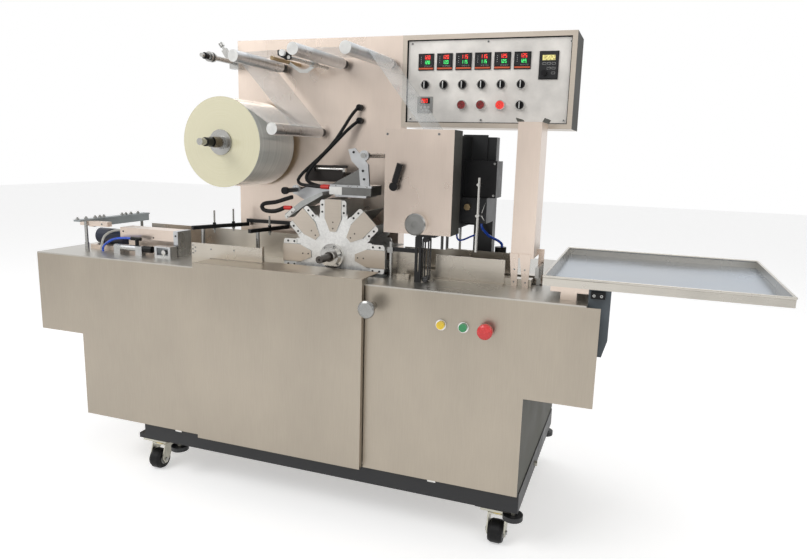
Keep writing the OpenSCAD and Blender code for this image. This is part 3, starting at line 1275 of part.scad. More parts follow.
// Stand at the left end: two posts carry bars across the outfeed, with a motor below
stand_x = -1050;
stand_y = [85, 350];
stand_bar_z = [table_h + 102, table_h + 108];
stand_bar_y = [48, 378];
stand_half = 14;
post_r = 5.5;
post_foot_r = 7;
post_foot_h = 30;
cross_x = [-1078, -962];
cross_y = [88, 108];
cross_drop = 16;
beam_half = 10;
beam_drop = 22;
stand_bolts = [51, 87, 127, 148, 166, 252, 271, 296, 332];
bolt_r = 3;
bolt_h = 9;
bolt_head_r = 6;
bolt_head_h = 5;
motor_x = [-1096, -978];
motor_at = [196, 759];
motor_body_r = 27;
motor_block = [[-1090, -958], [140, 250], 14];
module outfeed_stand() color("#8f9698") {
    under = stand_bar_z[0];
    for (y = stand_y) {
        rod_z(stand_x, y, [table_h, under - seam], post_r);
        rod_z(stand_x, y, [table_h, table_h + post_foot_h], post_foot_r);
    }
    block([stand_x - stand_half, stand_x + stand_half], stand_bar_y, stand_bar_z);
    block(cross_x, cross_y, [under - cross_drop, under - seam]);
    block([stand_x - beam_half, stand_x + beam_half], [cross_y[1] + seam, stand_bar_y[1]],
        [under - beam_drop, under - seam]);
    for (y = stand_bolts) {
        rod_z(stand_x, y, [stand_bar_z[1], stand_bar_z[1] + bolt_h], bolt_r);
        translate([stand_x, y, stand_bar_z[1]]) cylinder(r = bolt_head_r, h = bolt_head_h, $fn = 6);
    }
    color("#1d2a3c") rod_x(motor_at[0], motor_at[1], motor_x, motor_body_r);
    block(motor_block[0], motor_block[1], [table_h, table_h + motor_block[2]]);
}

in_place() base_frame();
in_place() cabinet_shell();
in_place() left_panel();
in_place() right_panel();
in_place() centre_cover();
in_place() table_plate();
in_place() back_plate();
in_place() control_box();
in_place() control_plate();
in_place() panel_instruments();
in_place() selector(selector_places[0]);  // selector_1
in_place() selector(selector_places[1]);  // selector_2
in_place() selector(selector_places[2]);  // selector_3
in_place() selector(selector_places[3]);  // selector_4
in_place() selector(selector_places[4]);  // selector_5
in_place() selector(selector_places[5]);  // selector_6
in_place() selector(selector_places[6]);  // selector_7
in_place() inverter_knob();
in_place() color("#e8c91e") push_button(button_x[0]);  // yellow_button
in_place() color("#1f9d4d") push_button(button_x[1]);  // green_button
in_place() stop_button();
in_place() handwheel();
in_place() turret_shaft();
in_place() turret_discs();
in_place() turret_pockets();
in_place() turret_drive();
in_place() film_supports();
in_place() film_roll();
in_place() roll_chucks();
in_place() guide_roller(roller_table[0]);  // guide_roller_1
in_place() guide_roller(roller_table[1]);  // guide_roller_2
in_place() guide_roller(roller_table[2]);  // guide_roller_3
in_place() guide_roller(roller_table[3]);  // guide_roller_4
in_place() film_web();
in_place() film_unit_cover();
in_place() film_unit_frame();
in_place() crank_handle();
in_place() feed_knob();
in_place() feed_belts();
in_place() air_hoses();
in_place() heater_cables();
in_place() heater_arm_1();
in_place() heater_arm_2();
in_place() magazine();
in_place() infeed_guides();
in_place() pusher();
in_place() tray();
in_place() tray_brackets();
in_place() outfeed_guides();
in_place() outfeed_press();
in_place() press_rod();
in_place() outfeed_stand();
in_place() at_caster(0) caster_fork();  // caster_fork_1
in_place() at_caster(1) caster_fork();  // caster_fork_2
in_place() at_caster(2) caster_fork();  // caster_fork_3
in_place() at_caster(3) caster_fork();  // caster_fork_4
in_place() at_caster(0) caster_wheel();  // caster_wheel_1
in_place() at_caster(1) caster_wheel();  // caster_wheel_2
in_place() at_caster(2) caster_wheel();  // caster_wheel_3
in_place() at_caster(3) caster_wheel();  // caster_wheel_4
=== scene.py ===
import json
import math

import bmesh
import bpy
from mathutils import Matrix, Vector


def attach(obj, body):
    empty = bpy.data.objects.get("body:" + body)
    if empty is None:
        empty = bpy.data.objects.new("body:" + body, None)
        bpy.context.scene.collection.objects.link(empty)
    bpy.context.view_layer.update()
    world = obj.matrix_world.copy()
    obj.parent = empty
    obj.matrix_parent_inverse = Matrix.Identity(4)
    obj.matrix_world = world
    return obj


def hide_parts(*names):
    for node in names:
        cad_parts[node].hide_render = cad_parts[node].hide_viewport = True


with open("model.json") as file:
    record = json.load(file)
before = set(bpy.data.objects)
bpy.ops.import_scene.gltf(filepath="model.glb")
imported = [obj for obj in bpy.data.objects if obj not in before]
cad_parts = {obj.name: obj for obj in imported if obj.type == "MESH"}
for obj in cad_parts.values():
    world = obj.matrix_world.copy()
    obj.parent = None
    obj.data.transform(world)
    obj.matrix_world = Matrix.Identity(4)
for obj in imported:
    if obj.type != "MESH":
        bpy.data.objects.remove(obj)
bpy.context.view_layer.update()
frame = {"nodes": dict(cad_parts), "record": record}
nodes = frame["nodes"]
bodies = frame["record"]["behaviour"]["bodies"]
body_of_node = {node: body for body, held in bodies.items() for node in held}

# Places are given in millimetres in the machine's own axes: X from the joint between the centre
# cover and the right panel, Y from the front panels, Z from the floor.
MM = 1000
ORIGIN_X, ORIGIN_Y = 66.5, -322.5


def at(x, y, z):
    """A point of the machine, in the metres that Blender takes."""
    return Vector(((x + ORIGIN_X) / MM, (y + ORIGIN_Y) / MM, z / MM))


def add_object(name, data):
    made = bpy.data.objects.new(name, data)
    bpy.context.scene.collection.objects.link(made)
    return made


# Camera, with its turns in radians

CAMERA_PLACE = (702.3, -1647.8, 1079.5)
CAMERA_YAW, CAMERA_PITCH, CAMERA_ROLL = 0.3424, -0.1902, 0.0279
CAMERA_LENS, CAMERA_SENSOR = 29.71, 36


def make_camera():
    data = bpy.data.cameras.new("camera")
    data.sensor_width = CAMERA_SENSOR
    data.lens = CAMERA_LENS
    camera = add_object("camera", data)
    flat = math.cos(CAMERA_PITCH)
    forward = Vector((-math.sin(CAMERA_YAW) * flat, math.cos(CAMERA_YAW) * flat, math.sin(CAMERA_PITCH)))
    level = Vector((math.cos(CAMERA_YAW), math.sin(CAMERA_YAW), 0))
    upright = level.cross(forward)
    right = math.cos(CAMERA_ROLL) * level + math.sin(CAMERA_ROLL) * upright
    up = math.cos(CAMERA_ROLL) * upright - math.sin(CAMERA_ROLL) * level
    turn = Matrix((right, up, -forward)).transposed().to_4x4()
    camera.matrix_world = Matrix.Translation(at(*CAMERA_PLACE)) @ turn
    bpy.context.scene.camera = camera


# Studio, in metres and watts: each lamp's place, aim, size and power

LAMPS = {"key_light": ((-2.2, -3.0, 3.6), (0, 0, 0.6), (2.6, 2.0), 74),
         "fill_light": ((3.4, -2.2, 2.4), (0, 0, 0.8), (2.4, 2.4), 24),
         "top_light": ((0.2, 1.6, 3.8), (0, 0, 0.7), (3.0, 1.6), 30)}
WHITE = (1, 1, 1, 1)
WORLD_SEEN, WORLD_LIGHT = 1.0, 0.5
FLOOR_REACH = 14
FLOOR_COLOUR, FLOOR_ROUGH, FLOOR_GLOW = (0.9, 0.9, 0.9, 1), 0.9, 0.42
BOARD_COLOUR = (1, 0.985, 0.965, 1)


def make_soft_light(name, place, aim, size, watts):
    data = bpy.data.lights.new(name, "AREA")
    data.shape = "RECTANGLE"
    data.size, data.size_y = size
    data.energy = watts
    light = add_object(name, data)
    light.location = place
    light.rotation_euler = (Vector(aim) - Vector(place)).to_track_quat("-Z", "Y").to_euler()


def seen_or_lit(tree, seen, lit):
    """Picks one value for camera, glossy and transmission rays and another for light."""
    path = tree.nodes.new("ShaderNodeLightPath")
    looking = path.outputs["Is Camera Ray"]
    for kind in ("Is Glossy Ray", "Is Transmission Ray"):
        either = tree.nodes.new("ShaderNodeMath")
        either.operation = "MAXIMUM"
        tree.links.new(looking, either.inputs[0])
        tree.links.new(path.outputs[kind], either.inputs[1])
        looking = either.outputs[0]
    pick = tree.nodes.new("ShaderNodeMapRange")
    pick.inputs["To Min"].default_value = lit
    pick.inputs["To Max"].default_value = seen
    tree.links.new(looking, pick.inputs["Value"])
    return pick.outputs["Result"]


def make_sheet(name, corners, material):
    mesh = bpy.data.meshes.new(name)
    mesh.from_pydata(corners, [], [(0, 1, 2, 3)])
    mesh.materials.append(material)
    return add_object(name, mesh)


def make_world():
    world = bpy.data.worlds.new("studio")
    bpy.context.scene.world = world
    world.use_nodes = True
    tree = world.node_tree
    back = tree.nodes["Background"]
    back.inputs["Color"].default_value = WHITE
    tree.links.new(seen_or_lit(tree, WORLD_SEEN, WORLD_LIGHT), back.inputs["Strength"])


def make_floor():
    """A pale floor that keeps the machine's shadow and looks nearly white."""
    material = bpy.data.materials.new("pale_floor")
    material.use_nodes = True
    tree = material.node_tree
    shader = tree.nodes["Principled BSDF"]
    shader.inputs["Base Color"].default_value = FLOOR_COLOUR
    shader.inputs["Roughness"].default_value = FLOOR_ROUGH
    shader.inputs["Emission Color"].default_value = WHITE
    tree.links.new(seen_or_lit(tree, FLOOR_GLOW, 0.0), shader.inputs["Emission Strength"])
    reach = FLOOR_REACH
    corners = [(-reach, -reach, 0), (reach, -reach, 0), (reach, reach, 0), (-reach, reach, 0)]
    floor = make_sheet("floor", corners, material)


def make_room_board(name, corners, dark, bright):
    """A softly patterned board that shows in reflections only, as the walls of a room would."""
    material = bpy.data.materials.new(name)
    material.use_nodes = True
    tree = material.node_tree
    tree.nodes.clear()
    place = tree.nodes.new("ShaderNodeTexCoord")
    cloud = tree.nodes.new("ShaderNodeTexNoise")
    cloud.inputs["Scale"].default_value = 0.45
    cloud.inputs["Detail"].default_value = 1.5
    tree.links.new(place.outputs["Object"], cloud.inputs["Vector"])
    level = tree.nodes.new("ShaderNodeMapRange")
    for socket, value in (("From Min", 0.36), ("From Max", 0.62), ("To Min", dark), ("To Max", bright)):
        level.inputs[socket].default_value = value
    tree.links.new(cloud.outputs[0], level.inputs["Value"])
    glow = tree.nodes.new("ShaderNodeEmission")
    glow.inputs["Color"].default_value = BOARD_COLOUR
    tree.links.new(level.outputs["Result"], glow.inputs["Strength"])
    out = tree.nodes.new("ShaderNodeOutputMaterial")
    tree.links.new(glow.outputs[0], out.inputs["Surface"])
    board = make_sheet(name, corners, material)
    board.visible_camera = board.visible_diffuse = board.visible_shadow = board.visible_transmission = False


make_camera()
make_world()
for lamp, (place, aim, size, watts) in LAMPS.items():
    make_soft_light(lamp, place, aim, size, watts)
make_floor()
make_room_board("front_board", [(-7, -4, -1), (7, -4, -1), (7, -4, 5), (-7, -4, 5)], 0.5, 1.25)
make_room_board("right_board", [(4, -5, -1), (4, 5, -1), (4, 5, 4), (4, -5, 4)], 0.12, 0.6)
bpy.context.scene.view_settings.view_transform = "Standard"


# Materials. Colours are the screen's 0 to 255; scales and bump heights are for metres.

NOISE_RANGE = (0.3, 0.7)      # a noise texture seldom leaves it
NOISE_ROUGHNESS = 0.55
MIX_FIRST, MIX_SECOND, MIX_RESULT = 6, 7, 2      # the colour sockets of a Mix node
STREAKS = {"x": (0.02, 1, 1), "y": (1, 0.02, 1), "z": (1, 1, 0.02)}      # a noise drawn out along one axis
WAVE_PITCH = 0.314159      # the pitch of a wave texture whose scale is 1
REEL_X, REEL_Z, REEL_RADIUS = -517, 1091, 135


def linear(*rgb):
    """A screen colour as the linear values that a shader takes."""
    return tuple(((c / 255 + 0.055) / 1.055) ** 2.4 if c > 10 else c / 255 / 12.92 for c in rgb) + (1,)


def shade(rgb, amount):
    return tuple(max(0, min(255, c * amount)) for c in rgb)


class Finish:
    """One material: a principled shader with noises in object coordinates."""

    def __init__(self, name, rgb, metallic=0.0, rough=0.5, **sockets):
        self.material = bpy.data.materials.new(name)
        self.material.use_nodes = True
        self.tree = self.material.node_tree
        self.shader = self.tree.nodes["Principled BSDF"]
        self.coordinates = self.tree.nodes.new("ShaderNodeTexCoord").outputs["Object"]
        plain = {"Base_Color": linear(*rgb), "Metallic": metallic, "Roughness": rough}
        for socket, value in (plain | sockets).items():
            self.shader.inputs[socket.replace("_", " ")].default_value = value

    def feed(self, socket, value):
        """Links an output to a socket, or sets a plain value on it."""
        if hasattr(value, "is_output"):
            self.tree.links.new(value, socket)
        else:
            socket.default_value = value

    def node(self, kind, **inputs):
        made = self.tree.nodes.new(kind)
        for socket, value in inputs.items():
            self.feed(made.inputs[socket.replace("_", " ")], value)
        return made

    def noise(self, scale, stretch=(1, 1, 1), detail=3.0):
        mapping = self.node("ShaderNodeMapping", Vector=self.coordinates, Scale=stretch)
        made = self.node("ShaderNodeTexNoise", Vector=mapping.outputs[0], Scale=scale, Detail=detail,
                         Roughness=NOISE_ROUGHNESS)
        return made.outputs["Fac"]

    def noise_along(self, measure, scale, detail):
        """A noise of one measure alone, such as a radius or a length."""
        made = self.node("ShaderNodeTexNoise", Scale=scale, Detail=detail)
        made.noise_dimensions = "1D"
        self.tree.links.new(measure, made.inputs["W"])
        return made.outputs["Fac"]

    def cells(self, scale):
        """A grey of its own for each small cell."""
        cells = self.node("ShaderNodeTexVoronoi", Vector=self.coordinates, Scale=scale).outputs["Color"]
        return self.node("ShaderNodeRGBToBW", Color=cells).outputs[0]

    def spread(self, fac, low, high):
        start, end = NOISE_RANGE
        made = self.node("ShaderNodeMapRange", Value=fac, From_Min=start, From_Max=end,
                         To_Min=low, To_Max=high)
        return made.outputs["Result"]

    def tint(self, fac, rgb_low, rgb_high, span=NOISE_RANGE):
        ramp = self.tree.nodes.new("ShaderNodeValToRGB")
        for element, position, rgb in zip(ramp.color_ramp.elements, span, (rgb_low, rgb_high)):
            element.position = position
            element.color = linear(*rgb)
        self.tree.links.new(fac, ramp.inputs["Fac"])
        return ramp.outputs["Color"]

    def mix(self, fac, first, second):
        made = self.tree.nodes.new("ShaderNodeMix")
        made.data_type = "RGBA"
        self.feed(made.inputs["Factor"], fac)
        self.feed(made.inputs[MIX_FIRST], first)
        self.feed(made.inputs[MIX_SECOND], second)
        return made.outputs[MIX_RESULT]

    def set_colour(self, output):
        self.tree.links.new(output, self.shader.inputs["Base Color"])

    def set_rough(self, output):
        self.tree.links.new(output, self.shader.inputs["Roughness"])

    def bump(self, height, strength, distance):
        made = self.node("ShaderNodeBump", Height=height, Strength=strength, Distance=distance)
        self.tree.links.new(made.outputs["Normal"], self.shader.inputs["Normal"])
        return self


def brushed(name, rgb, along, rough=0.34, patch=0.09, streak=0.03):
    """Sheet steel with fine streaks along one direction and faint cloudy patches."""
    finish = Finish(name, rgb, metallic=0.92, rough=rough)
    fine = finish.noise(900, STREAKS[along], detail=2)
    cloud = finish.noise(3.2, (1, 1, 0.6), detail=4)
    streaks = finish.tint(fine, shade(rgb, 1 - streak), shade(rgb, 1 + streak))
    clouds = finish.tint(cloud, shade(rgb, 1 - patch), shade(rgb, 1 + patch))
    finish.set_colour(finish.mix(0.5, streaks, clouds))
    finish.set_rough(finish.spread(cloud, rough - 0.05, rough + 0.09))
    return finish.bump(fine, 0.02, 0.0003)


def painted(name, rgb, rough=0.4, metallic=0.0):
    """Paint or anodising with a fine grain, a little worn in patches."""
    finish = Finish(name, rgb, metallic=metallic, rough=rough)
    grain = finish.noise(220, detail=2)
    wear = finish.noise(9, detail=5)
    finish.set_colour(finish.tint(wear, shade(rgb, 0.9), shade(rgb, 1.08)))
    finish.set_rough(finish.spread(wear, rough - 0.05, rough + 0.1))
    return finish.bump(grain, 0.08, 0.0003)


def turned(name, rgb, rough=0.25, metallic=1.0):
    """Metal off a lathe or grinder, with fine tool marks."""
    finish = Finish(name, rgb, metallic=metallic, rough=rough)
    fine = finish.noise(320, (0.05, 1, 0.05), detail=2)
    finish.set_colour(finish.tint(fine, shade(rgb, 0.94), shade(rgb, 1.05)))
    finish.set_rough(finish.spread(finish.noise(25), rough - 0.05, rough + 0.08))
    return finish.bump(fine, 0.02, 0.0002)


def moulded(name, rgb, rough=0.38, **sockets):
    """Plastic or rubber out of a mould."""
    finish = Finish(name, rgb, rough=rough, **sockets)
    grain = finish.noise(1400, detail=1)
    finish.set_colour(finish.tint(finish.noise(30), shade(rgb, 0.93), shade(rgb, 1.06)))
    finish.set_rough(finish.spread(finish.noise(60), rough - 0.04, rough + 0.06))
    return finish.bump(grain, 0.06, 0.0001)


def galvanised(name, rgb, rough=0.38):
    """Hot-dip zinc: small bright and dull crystals over cloudy patches."""
    finish = Finish(name, rgb, metallic=0.75, rough=rough)
    crystals = finish.cells(260)
    finish.set_colour(finish.mix(0.5, finish.tint(crystals, shade(rgb, 0.93), shade(rgb, 1.05), (0.1, 0.9)),
                                 finish.tint(finish.noise(14, detail=4), shade(rgb, 0.92), shade(rgb, 1.06))))
    finish.set_rough(finish.spread(crystals, rough - 0.08, rough + 0.12))
    return finish.bump(crystals, 0.04, 0.0002)


def ribbed(name, rgb, along, pitch, depth, metallic=0.0, rough=0.45):
    """Fine teeth or threads across one direction, with the given pitch in metres, painted darker in the
    grooves and lighter on the crests.
    """
    finish = Finish(name, rgb, metallic=metallic, rough=rough)
    wave = finish.node("ShaderNodeTexWave", Vector=finish.coordinates, Scale=WAVE_PITCH / pitch)
    wave.bands_direction = along
    teeth = wave.outputs["Fac"]
    # Colour darker in the grooves and lighter on the crests: painted shade and painted highlight.
    finish.set_colour(finish.tint(teeth, shade(rgb, 0.55), shade(rgb, 1.25), (0.2, 0.8)))
    finish.set_rough(finish.spread(finish.noise(50), rough - 0.05, rough + 0.08))
    return finish.bump(teeth, 0.6, depth)


def glowing(name, rgb, strength):
    """A lit surface behind a lens with small facets."""
    finish = moulded(name, rgb, 0.25, Coat_Weight=0.5)
    finish.set_colour(finish.tint(finish.cells(420), shade(rgb, 0.7), shade(rgb, 1.3), (0.2, 0.8)))
    finish.shader.inputs["Emission Color"].default_value = linear(*rgb)
    finish.shader.inputs["Emission Strength"].default_value = strength
    return finish


def smoky(name):
    """Dark clear plastic, scuffed in patches."""
    finish = Finish(name, (70, 70, 72), rough=0.12, Coat_Weight=0.7, Coat_Roughness=0.05)
    finish.set_colour(finish.tint(finish.noise(16, detail=3), (46, 46, 48), (112, 112, 112), (0.35, 0.75)))
    return finish


def wound_film(name):
    """Hundreds of turns of clear film: rings on the ends, and pale streaks round the outside that are painted
    reflections.
    """
    finish = Finish(name, (236, 231, 205), rough=0.14, Coat_Weight=0.8, Coat_Roughness=0.05, IOR=1.5)
    axis = at(REEL_X, 0, REEL_Z)
    centred = finish.node("ShaderNodeMapping", Vector=finish.coordinates, Location=(-axis.x, 0, -axis.z))
    split = finish.node("ShaderNodeSeparateXYZ", Vector=centred.outputs[0])
    flat = finish.node("ShaderNodeCombineXYZ", X=split.outputs["X"], Z=split.outputs["Z"])
    radius = finish.tree.nodes.new("ShaderNodeVectorMath")
    radius.operation = "LENGTH"
    finish.tree.links.new(flat.outputs[0], radius.inputs[0])
    turns = finish.noise_along(radius.outputs["Value"], 420, 2)
    # Pale streaks along the reel's length on its outside: painted reflections.
    painted_reflection_streaks = finish.noise_along(split.outputs["Y"], 90, 3)
    ends = finish.tint(turns, (222, 216, 182), (228, 223, 194))
    outside = finish.tint(painted_reflection_streaks, (196, 197, 191), (214, 215, 209))
    rim = finish.node("ShaderNodeMapRange", Value=radius.outputs["Value"],
                      From_Min=(REEL_RADIUS - 0.5) / MM, From_Max=(REEL_RADIUS - 0.1) / MM)
    finish.set_colour(finish.mix(rim.outputs["Result"], ends, outside))
    return finish.bump(turns, 0.12, 0.0003)


def clear_film(name):
    """One layer of clear film with soft waves, painted lighter where they rise as a sheen."""
    finish = Finish(name, (228, 236, 240), rough=0.08, IOR=1.45, Alpha=0.26)
    wave = finish.noise(7, (1, 0.3, 1), detail=2)
    # Lighter where the waves rise: painted sheen.
    finish.set_colour(finish.tint(wave, (214, 224, 230), (246, 249, 250)))
    return finish.bump(wave, 0.25, 0.004)


panel_steel = brushed("panel_steel", (168, 159, 146), "z")
# A darker copy of the steel for side faces of the cabinet and the magazine: painted shade.
painted_shade_steel = painted("painted_shade_steel", (78, 78, 70), 0.62, metallic=0.3)
# A still darker copy of the steel for the right sides of the control box and the film unit cover: painted
# shade.
painted_shade_side = painted("painted_shade_side", (62, 62, 58), 0.62, metallic=0.2)
table_steel = brushed("table_steel", (184, 181, 174), "x", rough=0.3)
rosy_steel = brushed("rosy_steel", (222, 207, 195), "z", rough=0.28, streak=0.018)
box_steel = brushed("box_steel", (196, 186, 174), "x", rough=0.3, patch=0.06)
guide_steel = brushed("guide_steel", (196, 189, 178), "x", rough=0.28)
tray_steel = brushed("tray_steel", (196, 192, 184), "x", rough=0.26, patch=0.06)
tray_film = brushed("tray_film", (150, 160, 172), "y", rough=0.2, patch=0.16)
star_zinc = galvanised("star_zinc", (224, 224, 222))
heater_zinc = galvanised("heater_zinc", (168, 170, 168), 0.42)
dark_zinc = galvanised("dark_zinc", (112, 112, 110), 0.46)
stand_zinc = galvanised("stand_zinc", (150, 156, 158), 0.36)
tin_white = painted("tin_white", (226, 225, 221), 0.35)
black_paint = painted("black_paint", (24, 25, 28), 0.42)
grey_paint = painted("grey_paint", (84, 92, 98), 0.42)
navy_paint = painted("navy_paint", (22, 34, 58), 0.3)
plate_grey = painted("plate_grey", (234, 230, 224), 0.36)
dark_anodised = painted("dark_anodised", (28, 29, 31), 0.36, metallic=0.3)
bar_brown = painted("bar_brown", (46, 42, 40), 0.34, metallic=0.5)
ground_steel = turned("ground_steel", (172, 172, 170), 0.26)
shaft_steel = turned("shaft_steel", (88, 84, 80), 0.3)
knob_face = turned("knob_face", (150, 150, 148), 0.22)
bright_chrome = turned("bright_chrome", (212, 211, 208), 0.12)
satin_aluminium = turned("satin_aluminium", (196, 198, 200), 0.3)
zinc_plate = turned("zinc_plate", (190, 188, 176), 0.34)
yellow_zinc = turned("yellow_zinc", (190, 164, 84), 0.34)
brass = turned("brass", (160, 140, 108), 0.3)
collar_thread = ribbed("collar_thread", (116, 104, 84), "Y", 0.003, 0.0012, metallic=0.9, rough=0.34)
rod_thread = ribbed("rod_thread", (170, 170, 166), "Z", 0.0016, 0.0005, metallic=0.9, rough=0.3)
toothed_belt = ribbed("toothed_belt", (58, 58, 60), "Z", 0.005, 0.0015)
black_rubber = moulded("black_rubber", (13, 13, 14), 0.5, Specular_IOR_Level=0.25)
black_plastic = moulded("black_plastic", (13, 13, 15), 0.34, Specular_IOR_Level=0.25)
grey_plastic = moulded("grey_plastic", (146, 146, 144), 0.45)
key_plastic = moulded("key_plastic", (196, 196, 194), 0.4)
white_plastic = moulded("white_plastic", (226, 226, 223), 0.38)
blue_tube = moulded("blue_tube", (22, 82, 206), 0.22, Coat_Weight=0.4)
pale_tube = moulded("pale_tube", (206, 206, 198), 0.35)
yellow_cap = moulded("yellow_cap", (232, 196, 30), 0.22, Coat_Weight=0.5)
green_cap = moulded("green_cap", (22, 138, 78), 0.22, Coat_Weight=0.5)
red_cap = moulded("red_cap", (216, 34, 36), 0.25, Coat_Weight=0.5)
red_sleeve = moulded("red_sleeve", (206, 34, 22), 0.4)
orange_strip = moulded("orange_strip", (206, 88, 48), 0.4)
dark_red_lens = glowing("dark_red_lens", (112, 18, 20), 0.12)
bright_red_lens = glowing("bright_red_lens", (226, 44, 36), 0.5)
red_light = glowing("red_light", (250, 60, 48), 1.0)
green_light = glowing("green_light", (70, 235, 120), 0.9)
amber_light = glowing("amber_light", (206, 190, 120), 0.35)
smoky_guard = smoky("smoky_guard")
film_wound = wound_film("wound_film")
film_clear = clear_film("clear_film")


# Dressing the solids

WELD = 0.00002
SHARP = math.radians(32)
QUARTER = math.radians(90)
ALL = (-2000, 2000)      # a range that leaves nothing of the machine out


def paint(node, finish):
    nodes[node].data.materials.clear()
    nodes[node].data.materials.append(finish.material)


def dress(node, finish, *rules):
    """A copy of a solid that stands for the node. Each rule is a finish and the box that it holds in."""
    solid = nodes[node].data
    mesh = bpy.data.meshes.new(node + "_dressed")
    mesh.from_pydata([tuple(v.co) for v in solid.vertices], [], [tuple(p.vertices) for p in solid.polygons])
    for used in [finish] + [rule[0] for rule in rules]:
        mesh.materials.append(used.material)
    shell = bmesh.new()
    shell.from_mesh(mesh)
    bmesh.ops.remove_doubles(shell, verts=shell.verts, dist=WELD)
    bounds = [(at(x[0], y[0], z[0]), at(x[1], y[1], z[1])) for _, x, y, z in rules]
    for face in shell.faces:
        face.smooth = True
        middle = face.calc_center_median()
        for slot, (low, high) in enumerate(bounds, 1):
            if all(low[k] <= middle[k] <= high[k] for k in range(3)):
                face.material_index = slot
    shell.to_mesh(mesh)
    shell.free()
    mesh.set_sharp_from_angle(angle=SHARP)
    piece = add_object(node + "_dressed", mesh)
    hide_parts(node)
    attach(piece, body_of_node[node])


def piece_from(name, shell, body, *finishes):
    mesh = bpy.data.meshes.new(name)
    bmesh.ops.recalc_face_normals(shell, faces=shell.faces)
    shell.to_mesh(mesh)
    shell.free()
    for finish in finishes:
        mesh.materials.append(finish.material)
    piece = add_object(name, mesh)
    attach(piece, body)


def add_box(shell, x, y, z, finish=0, round_by=0.0):
    """A box between two corners, with rounded edges where asked."""
    low, high = at(x[0], y[0], z[0]), at(x[1], y[1], z[1])
    corners = bmesh.ops.create_cube(shell, size=1)["verts"]
    for corner in corners:
        corner.co = Vector(low[k] if corner.co[k] < 0 else high[k] for k in range(3))
    faces = list(dict.fromkeys(f for v in corners for f in v.link_faces))
    if round_by:
        edges = list(dict.fromkeys(e for f in faces for e in f.edges))
        made = bmesh.ops.bevel(shell, geom=edges, offset=round_by / MM, segments=2, affect="EDGES",
                               profile=0.6)
        faces = made["faces"] + [f for f in faces if f.is_valid]
    for face in faces:
        face.material_index = finish


def add_cylinder(shell, middle, turn, radius, depth, sides=32):
    """A closed cylinder, turned a quarter from upright about the axis named. Gives its corners."""
    place = Matrix.Translation(middle) @ Matrix.Rotation(QUARTER, 4, turn)
    made = bmesh.ops.create_cone(shell, cap_ends=True, segments=sides, radius1=radius / MM,
                                 radius2=radius / MM, depth=depth / MM, matrix=place)
    return made["verts"]


def add_disc(shell, x, z, y, radius, finish=0, sides=32):
    """A short cylinder whose axis runs along Y, from y[0] to y[1]."""
    middle = (at(x, y[0], z) + at(x, y[1], z)) / 2
    corners = add_cylinder(shell, middle, "X", radius, y[1] - y[0], sides)
    for face in {f for v in corners for f in v.link_faces}:
        face.material_index = finish
        face.smooth = len(face.verts) == 4


# Screws

HEAD_SIDES, SOCKET_SIDES = 20, 6
SOCKET_WIDTH, SOCKET_LENGTH = 0.5, 1.04      # shares of the head's radius and height
FACINGS = {"front": (math.pi / 2, 0, 0), "up": (0, 0, 0)}


def socket_for(tree, name):
    return next(i.identifier for i in tree.interface.items_tree if i.item_type == "SOCKET" and i.name == name)


def make_screw_tree():
    """Cap screws with a hexagon socket on every vertex of a mesh, facing one way."""
    tree = bpy.data.node_groups.new("cap_screws", "GeometryNodeTree")
    tree.interface.new_socket(name="Geometry", in_out="OUTPUT", socket_type="NodeSocketGeometry")
    for name, kind in (("Places", "Geometry"), ("Head Radius", "Float"), ("Head Height", "Float"),
                       ("Facing", "Vector"), ("Head Finish", "Material"), ("Socket Finish", "Material")):
        tree.interface.new_socket(name=name, in_out="INPUT", socket_type="NodeSocket" + kind)
    link = tree.links.new
    start = tree.nodes.new("NodeGroupInput")
    end = tree.nodes.new("NodeGroupOutput")

    def cylinder(sides, radius, height):
        made = tree.nodes.new("GeometryNodeMeshCylinder")
        made.inputs["Vertices"].default_value = sides
        link(radius, made.inputs["Radius"])
        link(height, made.inputs["Depth"])
        return made.outputs["Mesh"]

    def scaled(value, share):
        made = tree.nodes.new("ShaderNodeMath")
        made.operation = "MULTIPLY"
        made.inputs[1].default_value = share
        link(value, made.inputs[0])
        return made.outputs[0]

    def painted_with(mesh, finish, where=None):
        made = tree.nodes.new("GeometryNodeSetMaterial")
        link(mesh, made.inputs["Geometry"])
        link(finish, made.inputs["Material"])
        if where:
            link(where, made.inputs["Selection"])
        return made.outputs["Geometry"]

    radius, height = start.outputs["Head Radius"], start.outputs["Head Height"]
    head = cylinder(HEAD_SIDES, radius, height)
    recess = cylinder(SOCKET_SIDES, scaled(radius, SOCKET_WIDTH), scaled(height, SOCKET_LENGTH))
    marked = tree.nodes.new("GeometryNodeStoreNamedAttribute")
    marked.data_type = "BOOLEAN"
    marked.domain = "FACE"
    marked.inputs["Name"].default_value = "recess"
    marked.inputs["Value"].default_value = True
    link(recess, marked.inputs["Geometry"])
    joined = tree.nodes.new("GeometryNodeJoinGeometry")
    link(head, joined.inputs[0])
    link(marked.outputs["Geometry"], joined.inputs[0])
    turned_to = tree.nodes.new("GeometryNodeTransform")
    link(joined.outputs[0], turned_to.inputs["Geometry"])
    link(start.outputs["Facing"], turned_to.inputs["Rotation"])
    spread = tree.nodes.new("GeometryNodeInstanceOnPoints")
    link(start.outputs["Places"], spread.inputs["Points"])
    link(turned_to.outputs["Geometry"], spread.inputs["Instance"])
    real = tree.nodes.new("GeometryNodeRealizeInstances")
    link(spread.outputs["Instances"], real.inputs["Geometry"])
    mark = tree.nodes.new("GeometryNodeInputNamedAttribute")
    mark.data_type = "BOOLEAN"
    mark.inputs["Name"].default_value = "recess"
    heads = painted_with(real.outputs["Geometry"], start.outputs["Head Finish"])
    both = painted_with(heads, start.outputs["Socket Finish"], mark.outputs["Attribute"])
    link(both, end.inputs["Geometry"])
    return tree


screw_tree = make_screw_tree()


